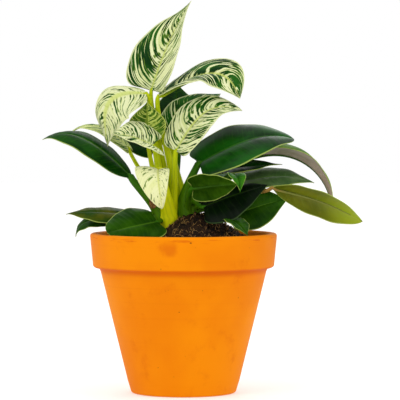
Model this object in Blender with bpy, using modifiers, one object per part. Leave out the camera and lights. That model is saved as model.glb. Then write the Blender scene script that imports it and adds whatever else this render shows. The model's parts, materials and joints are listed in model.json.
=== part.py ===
"""A potted philodendron: a turned clay pot filled with soil, and a plant with two crowns.

Every leaf is a blade on its own stalk. The origin is the centre of the pot's foot, +Z is up and
-Y is the front. The tables of sizes are in millimetres and degrees; the shapes are in metres.
Heights in the tables of the plant are above the top of the soil's mound.
"""

import math
from dataclasses import dataclass

import bmesh
import bpy
from mathutils import Matrix, Vector

MM = 0.001

# ---- the pot ------------------------------------------------------------------------------------
POT_HEIGHT = 0.128
RIM_RADIUS = 0.075  # outside, at the lip
RIM_TAPER = 0.0022  # how much narrower the band's lower edge is
RIM_BAND = 0.0275  # height of the band
BAND_STANDS_OUT = 0.0077  # how much wider the lip is than the wall just under the band
FOOT_SHARE = 0.567  # the foot's radius, as a share of the lip's
WALL = 0.0055
FLOOR = 0.008
DRAIN_HOLES = 3
DRAIN_RADIUS = 0.004
DRAIN_CIRCLE = 0.024  # from the pot's axis to each hole's centre
LIP_ROUND = 0.0022
BAND_ROUND = 0.003
FOOT_ROUND = 0.0025
POT_SEGMENTS = 48

# ---- the soil -----------------------------------------------------------------------------------
SOIL_BELOW_LIP = 0.009  # at the wall
MOUND_HEIGHT = 0.025  # above the level at the wall
MOUND_CENTRE = Vector((0.010, 0.0))
MOUND_SHARE = 0.773  # the mound's radius, as a share of the lip's
SOIL_SEGMENTS = 32
SOIL_RINGS = 5

# ---- the plant ----------------------------------------------------------------------------------
GAP = 0.0004  # between pieces that touch
BLADE_THICKNESS = 0.0008
BLADE_STATIONS = 8  # rows of the blade's net, from the stalk to the tip
BLADE_HALF_COLUMNS = 3  # columns of the net on each side of the midrib
BEND_STEPS = 24
STATION_CROWDING = 1.4  # above 1 the rows stand closer near the stalk
LOBE_AT = 0.08  # the share of the way at which the lobes reach back furthest
FULLNESS = 0.66  # lower is a blunter margin; it falls off towards the tip
ARCH = 34  # degrees by which each half turns down again between the midrib and the margin
RIB_SPREAD = 1.3  # how the net's rows lean towards the tip, as the side veins do
STALK_RADIUS = 0.0022  # at the foot of an ordinary stalk
NECK_RADIUS = 0.0014  # where it meets the blade
STALK_POINTS = 9
STALK_SIDES = 2  # the tube's bevel resolution, which gives 8 sides
STALK_LEAVES_BY = 0.35  # share of the stalk's span that its start and end directions govern
STALK_ARRIVES_BY = 0.15
STALK_OUTWARD = 0.4  # how far stalks lean away from their crown at the foot
STALK_UPRIGHT = 1.5  # how upright stalks stand under their blades
STALK_TAPER = 1.5
CROWN_ROOT = 0.030  # how far a crown goes down into the soil
CROWN_TIP_SHARE = 0.45
CROWNS_CENTRE = -0.004  # midway between the two crowns
CROWN_REACH = 4.09 * STALK_RADIUS  # from there to each crown's axis, to leave the stalks room


@dataclass
class Crown:
    """A short stout stem that the stalks grow from."""

    name: str
    side: int  # -1 is the left one
    y: float
    girth: float  # radius, in radii of an ordinary stalk
    top: float

    @property
    def x(self):
        """The crown's place across the pot, in metres."""
        return CROWNS_CENTRE + self.side * CROWN_REACH

    @property
    def radius(self):
        """The crown's radius at its lower end, in metres."""
        return self.girth * STALK_RADIUS


CROWNS = {
    "left": Crown("crown_left", -1, 2, 2.95, 16),
    "right": Crown("crown_right", 1, 4, 2.73, 20),
}


@dataclass
class Leaf:
    """A blade and its stalk. Lengths are in millimetres and angles in degrees."""

    name: str
    crown: str
    foot: tuple  # where the stalk starts: compass direction round the crown, and height
    base: tuple  # where the blade meets its stalk
    heading: float  # compass direction of the midrib there: 0 is +X, 90 is +Y
    rise: float  # its slope there, upwards
    roll: float  # turn about the midrib, left side up
    length: float
    width: float
    curl: float = 50  # how far the tip bends down
    sweep: float = 0  # how far it bends to the left
    twist: float = 0
    fold: float = 25  # how far each half is raised at the midrib
    bend_at: float = 0.7  # the share of the way at which it bends most
    sharp: float = 4  # how sharply it bends there
    lobe: float = 0.12  # how far the lobes reach back past the stalk, as a share of the length
    widest: float = 0.32  # the share of the way at which it is widest
    stout: float = 1.0  # the stalk's radius, as a share of an ordinary one's
    blunt: float = 0.0  # how much fuller the tip is
    halves: tuple = (1.0, 1.0)  # the widths of the left and right halves, as shares
    over_lip: bool = False  # the base is then given from the lip, as the aerial root is
    finish: str = "green"


LEAVES = [
    # name, crown, foot, base, heading, rise, roll, length, width, curl, sweep, twist
    Leaf("top", "left", (82, 9), (-26, 10, 98.5), 20, 71, 38, 80, 55, 8, -11,
         fold=32, lobe=0.05, widest=0.25, halves=(1.0, 0.62), finish="striped"),
    Leaf("upper_right", "left", (33, 7), (-20, 2, 94), 3, 29, 8, 83, 46, 56, -85, 45,
         bend_at=0.68, sharp=8, lobe=0.04, widest=0.48, blunt=0.45, finish="striped"),
    Leaf("upper_left", "left", (132, 13), (-30, 2, 96), 195, 4, -32, 69, 52, 96, 40,
         fold=10, bend_at=0.46, sharp=10, lobe=0.04, widest=0.45, halves=(1.1, 0.75), blunt=0.2,
         finish="striped"),
    Leaf("mid_left", "left", (-130, 8), (-24, -18, 54), 205, 24, -35, 36, 42, 20,
         fold=34, lobe=0.28, blunt=0.4, finish="striped"),
    Leaf("mid_right", "left", (-45, 6), (-6, -13, 50), 0, 60, 45, 70, 42, 62, -50,
         bend_at=0.7, sharp=7, lobe=0.06, blunt=0.6, finish="striped"),
    Leaf("inner_dark", "right", (153, 10), (-9, 27, 54), 15, 60, 45, 68, 48, 55,
         lobe=0.05, blunt=0.3, finish="striped"),
    Leaf("small_cream", "left", (-80, -2), (-19, -20, 35), -95, 10, 0, 50, 36, 110, 16,
         bend_at=0.5, lobe=0.08, halves=(0.5, 1.05), blunt=0.9, stout=2.2, finish="cream"),
    Leaf("inner_pale", "left", (175, 9), (-29, -4, 62), 270, 81, 0, 28, 31, -10, finish="striped"),
    Leaf("left_long", "left", (-145, 0), (-42, -6, 29.5), 178, 47, -30, 89, 35, 80,
         bend_at=0.9, fold=6, lobe=0.0, widest=0.42, blunt=0.5, stout=1.6),
    Leaf("left_arching", "left", (128, -1), (-45, 25, 52), 178, 48, -14, 67, 28, 112,
         bend_at=0.75, fold=12, blunt=0.2, finish="olive"),
    Leaf("low_left_outer", "left", (170, -3), (-46, 0, -1), 182, 8, -26, 49, 30, 20,
         fold=6, finish="olive"),
    Leaf("low_left_front", "left", (-120, -7), (-28, -24, 10), 214, -8, -36, 47, 36, 4,
         blunt=1.2, halves=(1.0, 1.3), fold=12, over_lip=True),
    Leaf("low_left_drooping", "left", (146, -8), (-81, 11, 10), -170, 10, -30, 36, 20, 100,
         fold=10, over_lip=True),
    Leaf("right_broad", "right", (-141, 7), (12, -7, 40), 6, 30, 38, 88, 50, 55,
         bend_at=0.85, lobe=0.08, blunt=1.05, fold=16, stout=1.25),
    Leaf("right_pointed", "right", (-2, 18), (22, 6, 33), 0, 10, 25, 58, 24, 10, blunt=0.2),
    Leaf("right_nodding", "right", (-48, 14), (40, -17, 31), -75, 0, 0, 26, 15, 80, fold=35),
    Leaf("right_front", "right", (-102, 3), (7, -28, 21), -12, 8, -50, 37, 30, 10,
         blunt=0.8, fold=10),
    Leaf("right_spreading", "right", (34, 13), (46, 10, 25), 0, 14, 30, 62, 32, 40,
         blunt=0.5, fold=14),
    Leaf("far_right_front", "right", (12, 6), (71, -16, 21), -8, -12, -34, 78, 36, 22,
         fold=12, lobe=0.0, widest=0.5, blunt=0.9, halves=(1.35, 1.0), finish="olive"),
    Leaf("far_right_arching", "right", (61, 4), (54, 27, 44), 0, 22, 8, 100, 34, 112,
         bend_at=0.5, sharp=2, fold=44, blunt=0.2),
    Leaf("low_right_shaded", "right", (-69, 8), (16, -18, 6), 0, 22, 40, 54, 36, 10,
         blunt=0.5, fold=10, halves=(1.0, 1.05)),
    Leaf("low_right_outer", "right", (-7, 2), (39, -5, -1), 5, 18, 60, 48, 38, 10,
         blunt=0.4, fold=14),
    Leaf("low_right_small", "right", (-37, 4), (51, -41, 12), -62, -15, 0, 29, 19, 20,
         over_lip=True),
    Leaf("back_tall", "left", (62, -1), (-4, 38, 56), 95, 62, 0, 62, 44, 15),
    Leaf("back_left", "left", (94, -6), (-24, 42, 50), 158, 28, -55, 40, 26, 30),
    Leaf("back_right", "right", (100, 7), (28, 50, 26), 50, 20, 0, 70, 44, 70),
    Leaf("back_low", "right", (133, 2), (6, 60, 6), 90, 15, 0, 70, 42, 60),
]

DRIED_SHEATH = Leaf("dried_sheath", "left", (0, 0), (-24, -10, 4), 170, 80, 80, 12, 6, lobe=0)
# Across the pot it is in hundredths of the lip's radius, and upwards in millimetres above the lip.
AERIAL_ROOT = [(-59, 19, -7), (-69, 23, 0), (-80, 25, 6), (-99, 25, 10), (-117, 23, 14)]
AERIAL_ROOT_RADIUS = 0.8


# ---- tools --------------------------------------------------------------------------------------
def clear_scene():
    """Removes whatever the scene holds."""
    for thing in list(bpy.data.objects):
        bpy.data.objects.remove(thing, do_unlink=True)


def finish_material(name, colour, roughness):
    """A plain coloured finish."""
    material = bpy.data.materials.new(name)
    material.use_nodes = True
    shader = material.node_tree.nodes["Principled BSDF"]
    shader.inputs["Base Color"].default_value = (*colour, 1)
    shader.inputs["Roughness"].default_value = roughness
    shader.inputs["Metallic"].default_value = 0
    return material


def add_object(name, data, material, collection):
    """Puts mesh or curve data in the collection as a named object."""
    thing = bpy.data.objects.new(name, data)
    thing.data.materials.append(material)
    collection.objects.link(thing)
    return thing


def hide(cutter):
    """Keeps a cutter out of the finished object."""
    cutter.hide_render = True
    cutter.display_type = "WIRE"
    return cutter


def mesh_from(shape, name):
    """Turns a bmesh into a mesh and frees it."""
    mesh = bpy.data.meshes.new(name)
    shape.to_mesh(mesh)
    shape.free()
    return mesh


def arc(centre, radius, start, end, steps):
    """Points on a circular arc in the X-Z plane, angles in degrees."""
    turns = [math.radians(start + (end - start) * i / steps) for i in range(steps + 1)]
    return [(centre[0] + radius * math.cos(a), centre[1] + radius * math.sin(a)) for a in turns]


# ---- pot and soil -------------------------------------------------------------------------------
def foot_radius():
    """The outside radius of the pot's foot."""
    return RIM_RADIUS * FOOT_SHARE


def wall_lean():
    """How far the wall leans out, from the foot to the band, and over what height."""
    return RIM_RADIUS - BAND_STANDS_OUT - foot_radius(), POT_HEIGHT - RIM_BAND


def wall_radius(height):
    """The wall's outside radius at a height, on one straight slope."""
    out, up = wall_lean()
    return foot_radius() + out / up * height


def inner_radius(height):
    """The wall's inside radius at a height."""
    return wall_radius(height) - WALL


def pot_profile():
    """The pot's closed section: down the outside, in under the foot and up the inside."""
    band_foot = POT_HEIGHT - RIM_BAND
    lip = (RIM_RADIUS - LIP_ROUND, POT_HEIGHT - LIP_ROUND)
    band = (RIM_RADIUS - RIM_TAPER - BAND_ROUND, band_foot + BAND_ROUND)
    foot = (foot_radius() - FOOT_ROUND, FOOT_ROUND)
    lean = math.degrees(math.atan2(*wall_lean()))
    inner_lip = (inner_radius(POT_HEIGHT) + LIP_ROUND, POT_HEIGHT - LIP_ROUND)
    points = arc(lip, LIP_ROUND, 90, 0, 3)
    points += arc(band, BAND_ROUND, 0, -90, 3)
    points += [(wall_radius(band_foot), band_foot)]
    points += arc(foot, FOOT_ROUND, -lean, -90, 3)
    points += [(0, 0), (0, FLOOR), (inner_radius(FLOOR), FLOOR)]
    points += arc(inner_lip, LIP_ROUND, 180, 90, 3)
    return points


def make_pot(material, collection, helpers):
    """The pot: its section turned about the upright axis, with holes drilled in its floor."""
    mesh = bpy.data.meshes.new("pot")
    points = [(x, 0, z) for x, z in pot_profile()]
    edges = [(i, (i + 1) % len(points)) for i in range(len(points))]
    edges = [edge for edge in edges if points[edge[0]][0] or points[edge[1]][0]]
    mesh.from_pydata(points, edges, [])
    pot = add_object("pot", mesh, material, collection)
    turn = pot.modifiers.new("turn", "SCREW")
    turn.steps = turn.render_steps = POT_SEGMENTS
    turn.use_merge_vertices = True
    turn.merge_threshold = 0.00001
    turn.use_smooth_shade = True
    drill = make_drill(material, helpers)
    bore = pot.modifiers.new("drain_holes", "BOOLEAN")
    bore.operation = "DIFFERENCE"
    bore.solver = "EXACT"
    bore.object = drill
    return pot


def make_drill(material, helpers):
    """The cutter for the drain holes: one upright pin for each."""
    shape = bmesh.new()
    for hole in range(DRAIN_HOLES):
        turn = Matrix.Rotation(2 * math.pi * (hole + 0.25) / DRAIN_HOLES, 4, "Z")
        bmesh.ops.create_cone(
            shape,
            cap_ends=True,
            segments=16,
            radius1=DRAIN_RADIUS,
            radius2=DRAIN_RADIUS,
            depth=3 * FLOOR,
            matrix=turn @ Matrix.Translation((DRAIN_CIRCLE, 0, FLOOR / 2)),
        )
    return hide(add_object("drill", mesh_from(shape, "drill"), material, helpers))


def soil_edge():
    """The height of the soil at the pot's wall."""
    return POT_HEIGHT - SOIL_BELOW_LIP


def mound_top():
    """The height from which the plant is measured."""
    return soil_edge() + MOUND_HEIGHT


def soil_height(x, y):
    """The height of the soil's surface."""
    far = min(1.0, (Vector((x, y)) - MOUND_CENTRE).length / (RIM_RADIUS * MOUND_SHARE))
    return soil_edge() + MOUND_HEIGHT * math.cos(far * math.pi / 2) ** 2


def make_soil(cutters, material, collection):
    """The root ball: it fills the pot, mounds up round the crowns and leaves them room."""
    edge = soil_edge()
    bottom = FLOOR + GAP
    side = inner_radius(edge) - GAP
    profile = [(0, bottom), (inner_radius(bottom) - GAP, bottom)]
    profile += [(side * (1 - ring / SOIL_RINGS), edge) for ring in range(SOIL_RINGS + 1)]
    shape = bmesh.new()
    corners = [shape.verts.new((x, 0, z)) for x, z in profile]
    lines = [shape.edges.new(pair) for pair in zip(corners, corners[1:])]
    bmesh.ops.spin(
        shape,
        geom=corners + lines,
        axis=(0, 0, 1),
        cent=(0, 0, 0),
        angle=2 * math.pi,
        steps=SOIL_SEGMENTS,
        use_merge=True,
    )
    bmesh.ops.remove_doubles(shape, verts=shape.verts, dist=GAP / 10)
    bmesh.ops.recalc_face_normals(shape, faces=shape.faces)
    for corner in shape.verts:
        if corner.co.z > edge - GAP and corner.co.xy.length < side - GAP:
            corner.co.z = soil_height(corner.co.x, corner.co.y)
    bmesh.ops.triangulate(shape, faces=shape.faces)
    soil = add_object("soil", mesh_from(shape, "soil"), material, collection)
    for cutter in cutters:
        cut = soil.modifiers.new(f"room_for_{cutter.name}", "BOOLEAN")
        cut.operation = "DIFFERENCE"
        cut.solver = "EXACT"
        cut.object = cutter
    return soil


def crown_foot(crown):
    """The height of a crown's lower end, down in the soil."""
    return soil_height(crown.x, crown.y * MM) - CROWN_ROOT


def crown_top(crown):
    """The height of a crown's upper end."""
    return mound_top() + crown.top * MM


def crown_radius(crown, height):
    """A crown's radius at a height."""
    foot, top = crown_foot(crown), crown_top(crown)
    return crown.radius * (1 - (1 - CROWN_TIP_SHARE) * (height - foot) / (top - foot))


def make_crown(crown, material, collection, swell=0.0):
    """A crown's tapered stem. With swell it is the cutter that leaves room for it."""
    foot, top = crown_foot(crown), crown_top(crown)
    radius = crown.radius
    shape = bmesh.new()
    bmesh.ops.create_cone(
        shape,
        cap_ends=True,
        segments=16,
        radius1=radius + swell,
        radius2=radius * CROWN_TIP_SHARE + swell,
        depth=top - foot + 2 * swell,
        matrix=Matrix.Translation((crown.x, crown.y * MM, (top + foot) / 2)),
    )
    name = crown.name if not swell else f"{crown.name}_cutter"
    return add_object(name, mesh_from(shape, name), material, collection)


# ---- leaves -------------------------------------------------------------------------------------
def from_lip(x, y, height):
    """A place given in hundredths of the lip's radius, and millimetres above the lip."""
    return Vector((x / 100 * RIM_RADIUS, y / 100 * RIM_RADIUS, POT_HEIGHT + height * MM))


def blade_base(leaf):
    """Where the blade meets its stalk, in metres."""
    if leaf.over_lip:
        return from_lip(*leaf.base)
    return Vector(leaf.base) * MM + Vector((0, 0, mound_top()))


def margin(share, leaf):
    """The margin's place (along, across) for a share of the way from the stalk to the tip."""
    back = share / LOBE_AT * math.exp(1 - share / LOBE_AT)
    along = leaf.length * (share - leaf.lobe * back * (1 - share))
    towards_stalk = math.log(0.5) / math.log(leaf.widest)
    swell = math.sin(math.pi * share**towards_stalk)
    across = leaf.width / 2 * max(swell, 0.0) ** (FULLNESS * (1 + share * (1 - leaf.blunt)))
    return along * MM, across * MM


def bent_by(leaf, share):
    """How much of the whole bend is made by a share of the way along."""
    start, here, end = (math.tanh(leaf.sharp * (at - leaf.bend_at) / 2) for at in (0, share, 1))
    return (here - start) / (end - start)


def leaf_frames(leaf):
    """Points and axes down the midrib: [(place, turn)], turn's columns being along, left and up."""
    turn = Matrix.Rotation(math.radians(leaf.heading), 3, "Z")
    turn = turn @ Matrix.Rotation(math.radians(-leaf.rise), 3, "Y")
    turn = turn @ Matrix.Rotation(math.radians(leaf.roll), 3, "X")
    place = blade_base(leaf)
    frames = [(place.copy(), turn.copy())]
    for step in range(BEND_STEPS):
        grown = bent_by(leaf, (step + 1) / BEND_STEPS) - bent_by(leaf, step / BEND_STEPS)
        bend = Matrix.Rotation(math.radians(leaf.curl * grown), 3, "Y")
        bend = bend @ Matrix.Rotation(math.radians(leaf.sweep * grown), 3, "Z")
        bend = bend @ Matrix.Rotation(math.radians(leaf.twist * grown), 3, "X")
        turn = turn @ bend
        place = place + turn.col[0] * leaf.length * MM / BEND_STEPS
        frames.append((place.copy(), turn.copy()))
    return frames


def on_midrib(leaf, frames, along):
    """The place and axes at a distance along the midrib, straight on before its start."""
    steps = along / (leaf.length * MM) * BEND_STEPS
    index = min(max(int(steps), 0), BEND_STEPS - 1)
    (here, turn), (there, turned) = frames[index], frames[index + 1]
    part = steps - index
    place = here.lerp(there, part) if part >= 0 else here + turn.col[0] * along
    part = min(max(part, 0.0), 1.0)
    axes = [(turn.col[i] * (1 - part) + turned.col[i] * part).normalized() for i in range(3)]
    return place, axes


def blade_point(leaf, frames, share, side):
    """The blade's surface: share runs from the stalk to the tip, side from -1 to 1."""
    edge_along, edge_across = margin(share, leaf)
    edge_across *= leaf.halves[0 if side > 0 else 1]
    out = abs(side)
    start = leaf.length * MM * share**RIB_SPREAD
    along = start + (edge_along - start) * out**RIB_SPREAD
    place, (_, left, up) = on_midrib(leaf, frames, along)
    fold, arch = math.radians(leaf.fold), math.radians(ARCH)
    level = edge_across * (math.sin(fold) - math.sin(fold - arch * out)) / arch
    lift = edge_across * (math.cos(fold - arch * out) - math.cos(fold)) / arch
    return place + left * math.copysign(level, side) + up * lift


def make_blade(name, leaf, material, collection):
    """A blade: a net of points on the leaf's surface, given its thickness."""
    frames = leaf_frames(leaf)
    columns = 2 * BLADE_HALF_COLUMNS
    shape = bmesh.new()
    bmesh.ops.create_grid(shape, x_segments=BLADE_STATIONS, y_segments=columns, size=1)
    for corner in shape.verts:
        share = ((corner.co.x + 1) / 2) ** STATION_CROWDING
        corner.co = blade_point(leaf, frames, share, corner.co.y)
    bmesh.ops.remove_doubles(shape, verts=shape.verts, dist=GAP / 8)
    blade = add_object(name, mesh_from(shape, name), material, collection)
    thick = blade.modifiers.new("thickness", "SOLIDIFY")
    thick.thickness = BLADE_THICKNESS
    thick.offset = 0
    return blade


def stalk_route(leaf):
    """The stalk's centre line, from the crown to the blade, as one smooth bend."""
    crown = CROWNS[leaf.crown]
    compass = math.radians(leaf.foot[0])
    height = mound_top() + leaf.foot[1] * MM
    outward = Vector((math.cos(compass), math.sin(compass), 0))
    reach = crown_radius(crown, height) + leaf.stout * STALK_RADIUS + 2 * GAP
    foot = Vector((crown.x, crown.y * MM, height)) + outward * reach
    frames = leaf_frames(leaf)
    base = frames[0][0] - frames[0][1].col[0] * (GAP + BLADE_THICKNESS)
    far = (base - foot).length
    leaving = outward * STALK_OUTWARD + Vector((0, 0, 1)) + (base - foot).normalized()
    arriving = frames[0][1].col[0] + Vector((0, 0, STALK_UPRIGHT))
    first = foot + leaving.normalized() * far * STALK_LEAVES_BY
    last = base - arriving.normalized() * far * STALK_ARRIVES_BY
    route = []
    for i in range(STALK_POINTS):
        t = i / (STALK_POINTS - 1)
        s = 1 - t
        route.append(foot * s**3 + first * 3 * s * s * t + last * 3 * s * t * t + base * t**3)
    return route


def make_tube(name, route, radii, material, collection):
    """A round stem along a route, with its own radius at each point."""
    data = bpy.data.curves.new(name, "CURVE")
    data.dimensions = "3D"
    data.bevel_depth = 1.0
    data.bevel_resolution = STALK_SIDES
    data.use_fill_caps = True
    line = data.splines.new("POLY")
    line.points.add(len(route) - 1)
    for point, place, radius in zip(line.points, route, radii):
        point.co = (*place, 1)
        point.radius = radius
    line.use_smooth = True
    return add_object(name, data, material, collection)


def make_stalk(leaf, material, collection):
    """A leaf's stalk, stout at its foot."""
    route = stalk_route(leaf)
    radii = []
    for i in range(len(route)):
        taper = (1 - i / (len(route) - 1)) ** STALK_TAPER
        radii.append(leaf.stout * (NECK_RADIUS + (STALK_RADIUS - NECK_RADIUS) * taper))
    return make_tube(f"stalk_{leaf.name}", route, radii, material, collection)


# ---- the whole ----------------------------------------------------------------------------------
def main():
    """Builds the pot, the soil and the plant."""
    clear_scene()
    plant = bpy.data.collections.new("potted_philodendron")
    helpers = bpy.data.collections.new("cutters")
    for group in (plant, helpers):
        bpy.context.scene.collection.children.link(group)
    clay = finish_material("clay", (0.87, 0.25, 0.005), 0.6)
    earth = finish_material("earth", (0.07, 0.045, 0.02), 0.95)
    stem = finish_material("stem", (0.45, 0.5, 0.03), 0.45)
    dried = finish_material("dried", (0.25, 0.14, 0.06), 0.8)
    leaf_finishes = {
        "striped": finish_material("striped_leaf", (0.35, 0.47, 0.16), 0.4),
        "cream": finish_material("cream_leaf", (0.75, 0.8, 0.3), 0.4),
        "green": finish_material("green_leaf", (0.02, 0.09, 0.01), 0.3),
        "olive": finish_material("olive_leaf", (0.12, 0.18, 0.01), 0.35),
    }
    make_pot(clay, plant, helpers)
    cutters = [hide(make_crown(crown, earth, helpers, GAP)) for crown in CROWNS.values()]
    make_soil(cutters, earth, plant)
    for crown in CROWNS.values():
        make_crown(crown, stem, plant)
    for leaf in LEAVES:
        make_blade(f"blade_{leaf.name}", leaf, leaf_finishes[leaf.finish], plant)
        make_stalk(leaf, stem, plant)
    make_blade("dried_sheath", DRIED_SHEATH, dried, plant)
    route = [from_lip(*point) for point in AERIAL_ROOT]
    radii = [AERIAL_ROOT_RADIUS * MM] * len(route)
    make_tube("aerial_root", route, radii, dried, plant)


main()
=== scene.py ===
"""The looks of a potted philodendron: a fired clay pot, potting mix, and a striped young plant."""

import json
import logging
import math
import random
from collections.abc import Callable, Iterable, Iterator
from contextlib import contextmanager
from dataclasses import dataclass, field
from enum import Enum

import bpy
from mathutils import Matrix, Vector, noise

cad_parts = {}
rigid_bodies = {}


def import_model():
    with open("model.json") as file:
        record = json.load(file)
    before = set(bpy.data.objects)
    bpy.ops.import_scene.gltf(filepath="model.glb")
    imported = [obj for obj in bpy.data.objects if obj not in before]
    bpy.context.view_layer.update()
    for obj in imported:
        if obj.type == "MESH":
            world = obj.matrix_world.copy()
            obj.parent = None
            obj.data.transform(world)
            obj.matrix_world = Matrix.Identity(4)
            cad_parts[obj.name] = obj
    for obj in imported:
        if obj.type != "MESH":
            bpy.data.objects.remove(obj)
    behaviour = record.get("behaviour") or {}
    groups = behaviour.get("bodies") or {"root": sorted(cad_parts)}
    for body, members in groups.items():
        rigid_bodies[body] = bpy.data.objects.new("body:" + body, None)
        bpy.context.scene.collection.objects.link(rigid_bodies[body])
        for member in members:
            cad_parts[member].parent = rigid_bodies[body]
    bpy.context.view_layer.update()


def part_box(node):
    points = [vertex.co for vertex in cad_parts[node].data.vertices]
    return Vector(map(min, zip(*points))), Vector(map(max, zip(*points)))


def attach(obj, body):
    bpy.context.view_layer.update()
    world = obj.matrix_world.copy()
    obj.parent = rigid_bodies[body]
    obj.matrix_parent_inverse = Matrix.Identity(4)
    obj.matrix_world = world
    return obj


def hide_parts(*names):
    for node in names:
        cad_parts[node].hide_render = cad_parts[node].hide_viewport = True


log = logging.getLogger("philodendron")

MM = 0.001
BODY = "root"
NOISE_SEED = 7
UP = Vector((0, 0, 1))
Colour = tuple[float, float, float]
Point = tuple[float, float, float]


def srgb(red: int, green: int, blue: int) -> Colour:
    """Turns a colour as seen on paper, 0 to 255, into linear light.

    Args:
        red: The red part.
        green: The green part.
        blue: The blue part.

    Returns:
        The three linear parts, 0 to 1.
    """
    parts = []
    for part in (red, green, blue):
        share = part / 255
        parts.append(share / 12.92 if share < 0.04045 else ((share + 0.055) / 1.055) ** 2.4)
    return tuple(parts)


# ---- shader maths -------------------------------------------------------------------------------
class Reading:
    """A number that changes over a surface. Sums on it add the nodes that work them out."""

    def __init__(self, recipe: "Recipe", socket: bpy.types.NodeSocket) -> None:
        """Wraps a socket of a recipe."""
        self.recipe = recipe
        self.socket = socket

    def _sum(self, operation: str, first: object, second: object = 0.0) -> "Reading":
        """Adds a Math node for an operation on two values."""
        return self.recipe.node("ShaderNodeMath", {"operation": operation}, {0: first, 1: second})

    def __add__(self, other: object) -> "Reading":
        """This plus another."""
        return self._sum("ADD", self, other)

    __radd__ = __add__

    def __sub__(self, other: object) -> "Reading":
        """This less another."""
        return self._sum("SUBTRACT", self, other)

    def __rsub__(self, other: object) -> "Reading":
        """Another less this."""
        return self._sum("SUBTRACT", other, self)

    def __mul__(self, other: object) -> "Reading":
        """This times another."""
        return self._sum("MULTIPLY", self, other)

    __rmul__ = __mul__

    def __abs__(self) -> "Reading":
        """This without its sign."""
        return self._sum("ABSOLUTE", self)

    def sine(self) -> "Reading":
        """The sine of this, in radians."""
        return self._sum("SINE", self)

    def larger(self, other: object) -> "Reading":
        """The larger of this and another."""
        return self._sum("MAXIMUM", self, other)

    def step(self, low: object, high: object) -> "Reading":
        """A soft step.

        Args:
            low: The value at which the result is 0.
            high: The value at which it is 1. It may be the smaller one.

        Returns:
            The step, 0 to 1.
        """
        settings = {"interpolation_type": "SMOOTHSTEP", "clamp": True}
        return self.recipe.node("ShaderNodeMapRange", settings, {0: self, 1: low, 2: high})


class Recipe:
    """A material being written, node by node."""

    def __init__(self, name: str) -> None:
        """Starts an empty material with one shader.

        Args:
            name: The material's name.
        """
        self.material = bpy.data.materials.new(name)
        self.material.use_nodes = True
        self.tree = self.material.node_tree
        self.shader = self.tree.nodes["Principled BSDF"]
        self.output = self.tree.nodes["Material Output"]

    def node(self, kind: str, settings: dict[str, object], values: dict, out: int = 0) -> Reading:
        """Adds any node.

        Args:
            kind: The node's type.
            settings: Its own settings, which are set first.
            values: A value or a reading for each input, by name or number.
            out: The number of the output that is wanted.

        Returns:
            The output.
        """
        made = self.tree.nodes.new(kind)
        for name, setting in settings.items():
            setattr(made, name, setting)
        for name, value in values.items():
            if isinstance(value, Reading):
                self.tree.links.new(value.socket, made.inputs[name])
            else:
                made.inputs[name].default_value = value
        return Reading(self, made.outputs[out])

    def along_and_across(self) -> tuple[Reading, Reading]:
        """The two parts of a point's place on the piece's own map.

        Returns:
            The share of the way along the piece, and across or round it.
        """
        place = self.node("ShaderNodeUVMap", {"uv_map": "UVMap"}, {})
        split = self.node("ShaderNodeSeparateXYZ", {}, {0: place})
        return split, Reading(self, split.socket.node.outputs[1])

    def place(self) -> tuple[Reading, Reading, Reading]:
        """The three parts of a point's place.

        Returns:
            The distances across, back and up, in metres.
        """
        where = self.node("ShaderNodeTexCoord", {}, {}, out=3)
        split = self.node("ShaderNodeSeparateXYZ", {}, {0: where})
        return tuple(Reading(self, socket) for socket in split.socket.node.outputs)

    def vector(self, x: object, y: object, z: object) -> Reading:
        """Three numbers as one vector."""
        return self.node("ShaderNodeCombineXYZ", {}, {0: x, 1: y, 2: z})

    def noise(self, where: Reading, scale: float, detail: float = 2.0, rough: float = 0.5) -> Reading:
        """Cloudy noise, 0 to 1, at a place."""
        values = {"Vector": where, "Scale": scale, "Detail": detail, "Roughness": rough}
        return self.node("ShaderNodeTexNoise", {}, values)

    def mix(self, share: object, first: object, second: object) -> Reading:
        """A blend of two colours.

        Args:
            share: How much of the second, 0 to 1.
            first: A colour or a reading of one.
            second: A colour or a reading of one.

        Returns:
            The blended colour.
        """
        ends = []
        for end in (first, second):
            ends.append(end if isinstance(end, Reading) else (*end, 1.0))
        settings = {"data_type": "RGBA", "clamp_factor": True}
        return self.node("ShaderNodeMix", settings, {0: share, 6: ends[0], 7: ends[1]}, out=2)

    def colour(self, value: Reading) -> None:
        """Gives the surface its colour."""
        self.tree.links.new(value.socket, self.shader.inputs["Base Color"])

    def roughness(self, value: object) -> None:
        """Gives the surface its roughness.

        Args:
            value: A number, or a reading where it changes over the surface.
        """
        if isinstance(value, Reading):
            self.tree.links.new(value.socket, self.shader.inputs["Roughness"])
        else:
            self.shader.inputs["Roughness"].default_value = value

    def relief(self, height: Reading, depth: float, strength: float = 1.0) -> None:
        """Raises the surface.

        Args:
            height: How high each point is, 0 to 1.
            depth: What a height of 1 stands for, in metres.
            strength: How much of it is seen.
        """
        values = {"Height": height, "Distance": depth, "Strength": strength}
        bump = self.node("ShaderNodeBump", {}, values)
        self.tree.links.new(bump.socket, self.shader.inputs["Normal"])

    def reflects(self, level: float) -> None:
        """How strongly the surface mirrors, 0.5 being usual."""
        self.shader.inputs["Specular IOR Level"].default_value = level

    def lets_light_through(self, colour: Reading, share: float) -> None:
        """Lets part of the light that falls on the far side shine through.

        Args:
            colour: The colour that the light takes.
            share: How much of the surface's light it is, 0 to 1.
        """
        glow = self.node("ShaderNodeBsdfTranslucent", {}, {"Color": colour})
        ends = {0: share, 1: Reading(self, self.shader.outputs[0]), 2: glow}
        both = self.node("ShaderNodeMixShader", {}, ends)
        self.tree.links.new(both.socket, self.output.inputs["Surface"])


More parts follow.
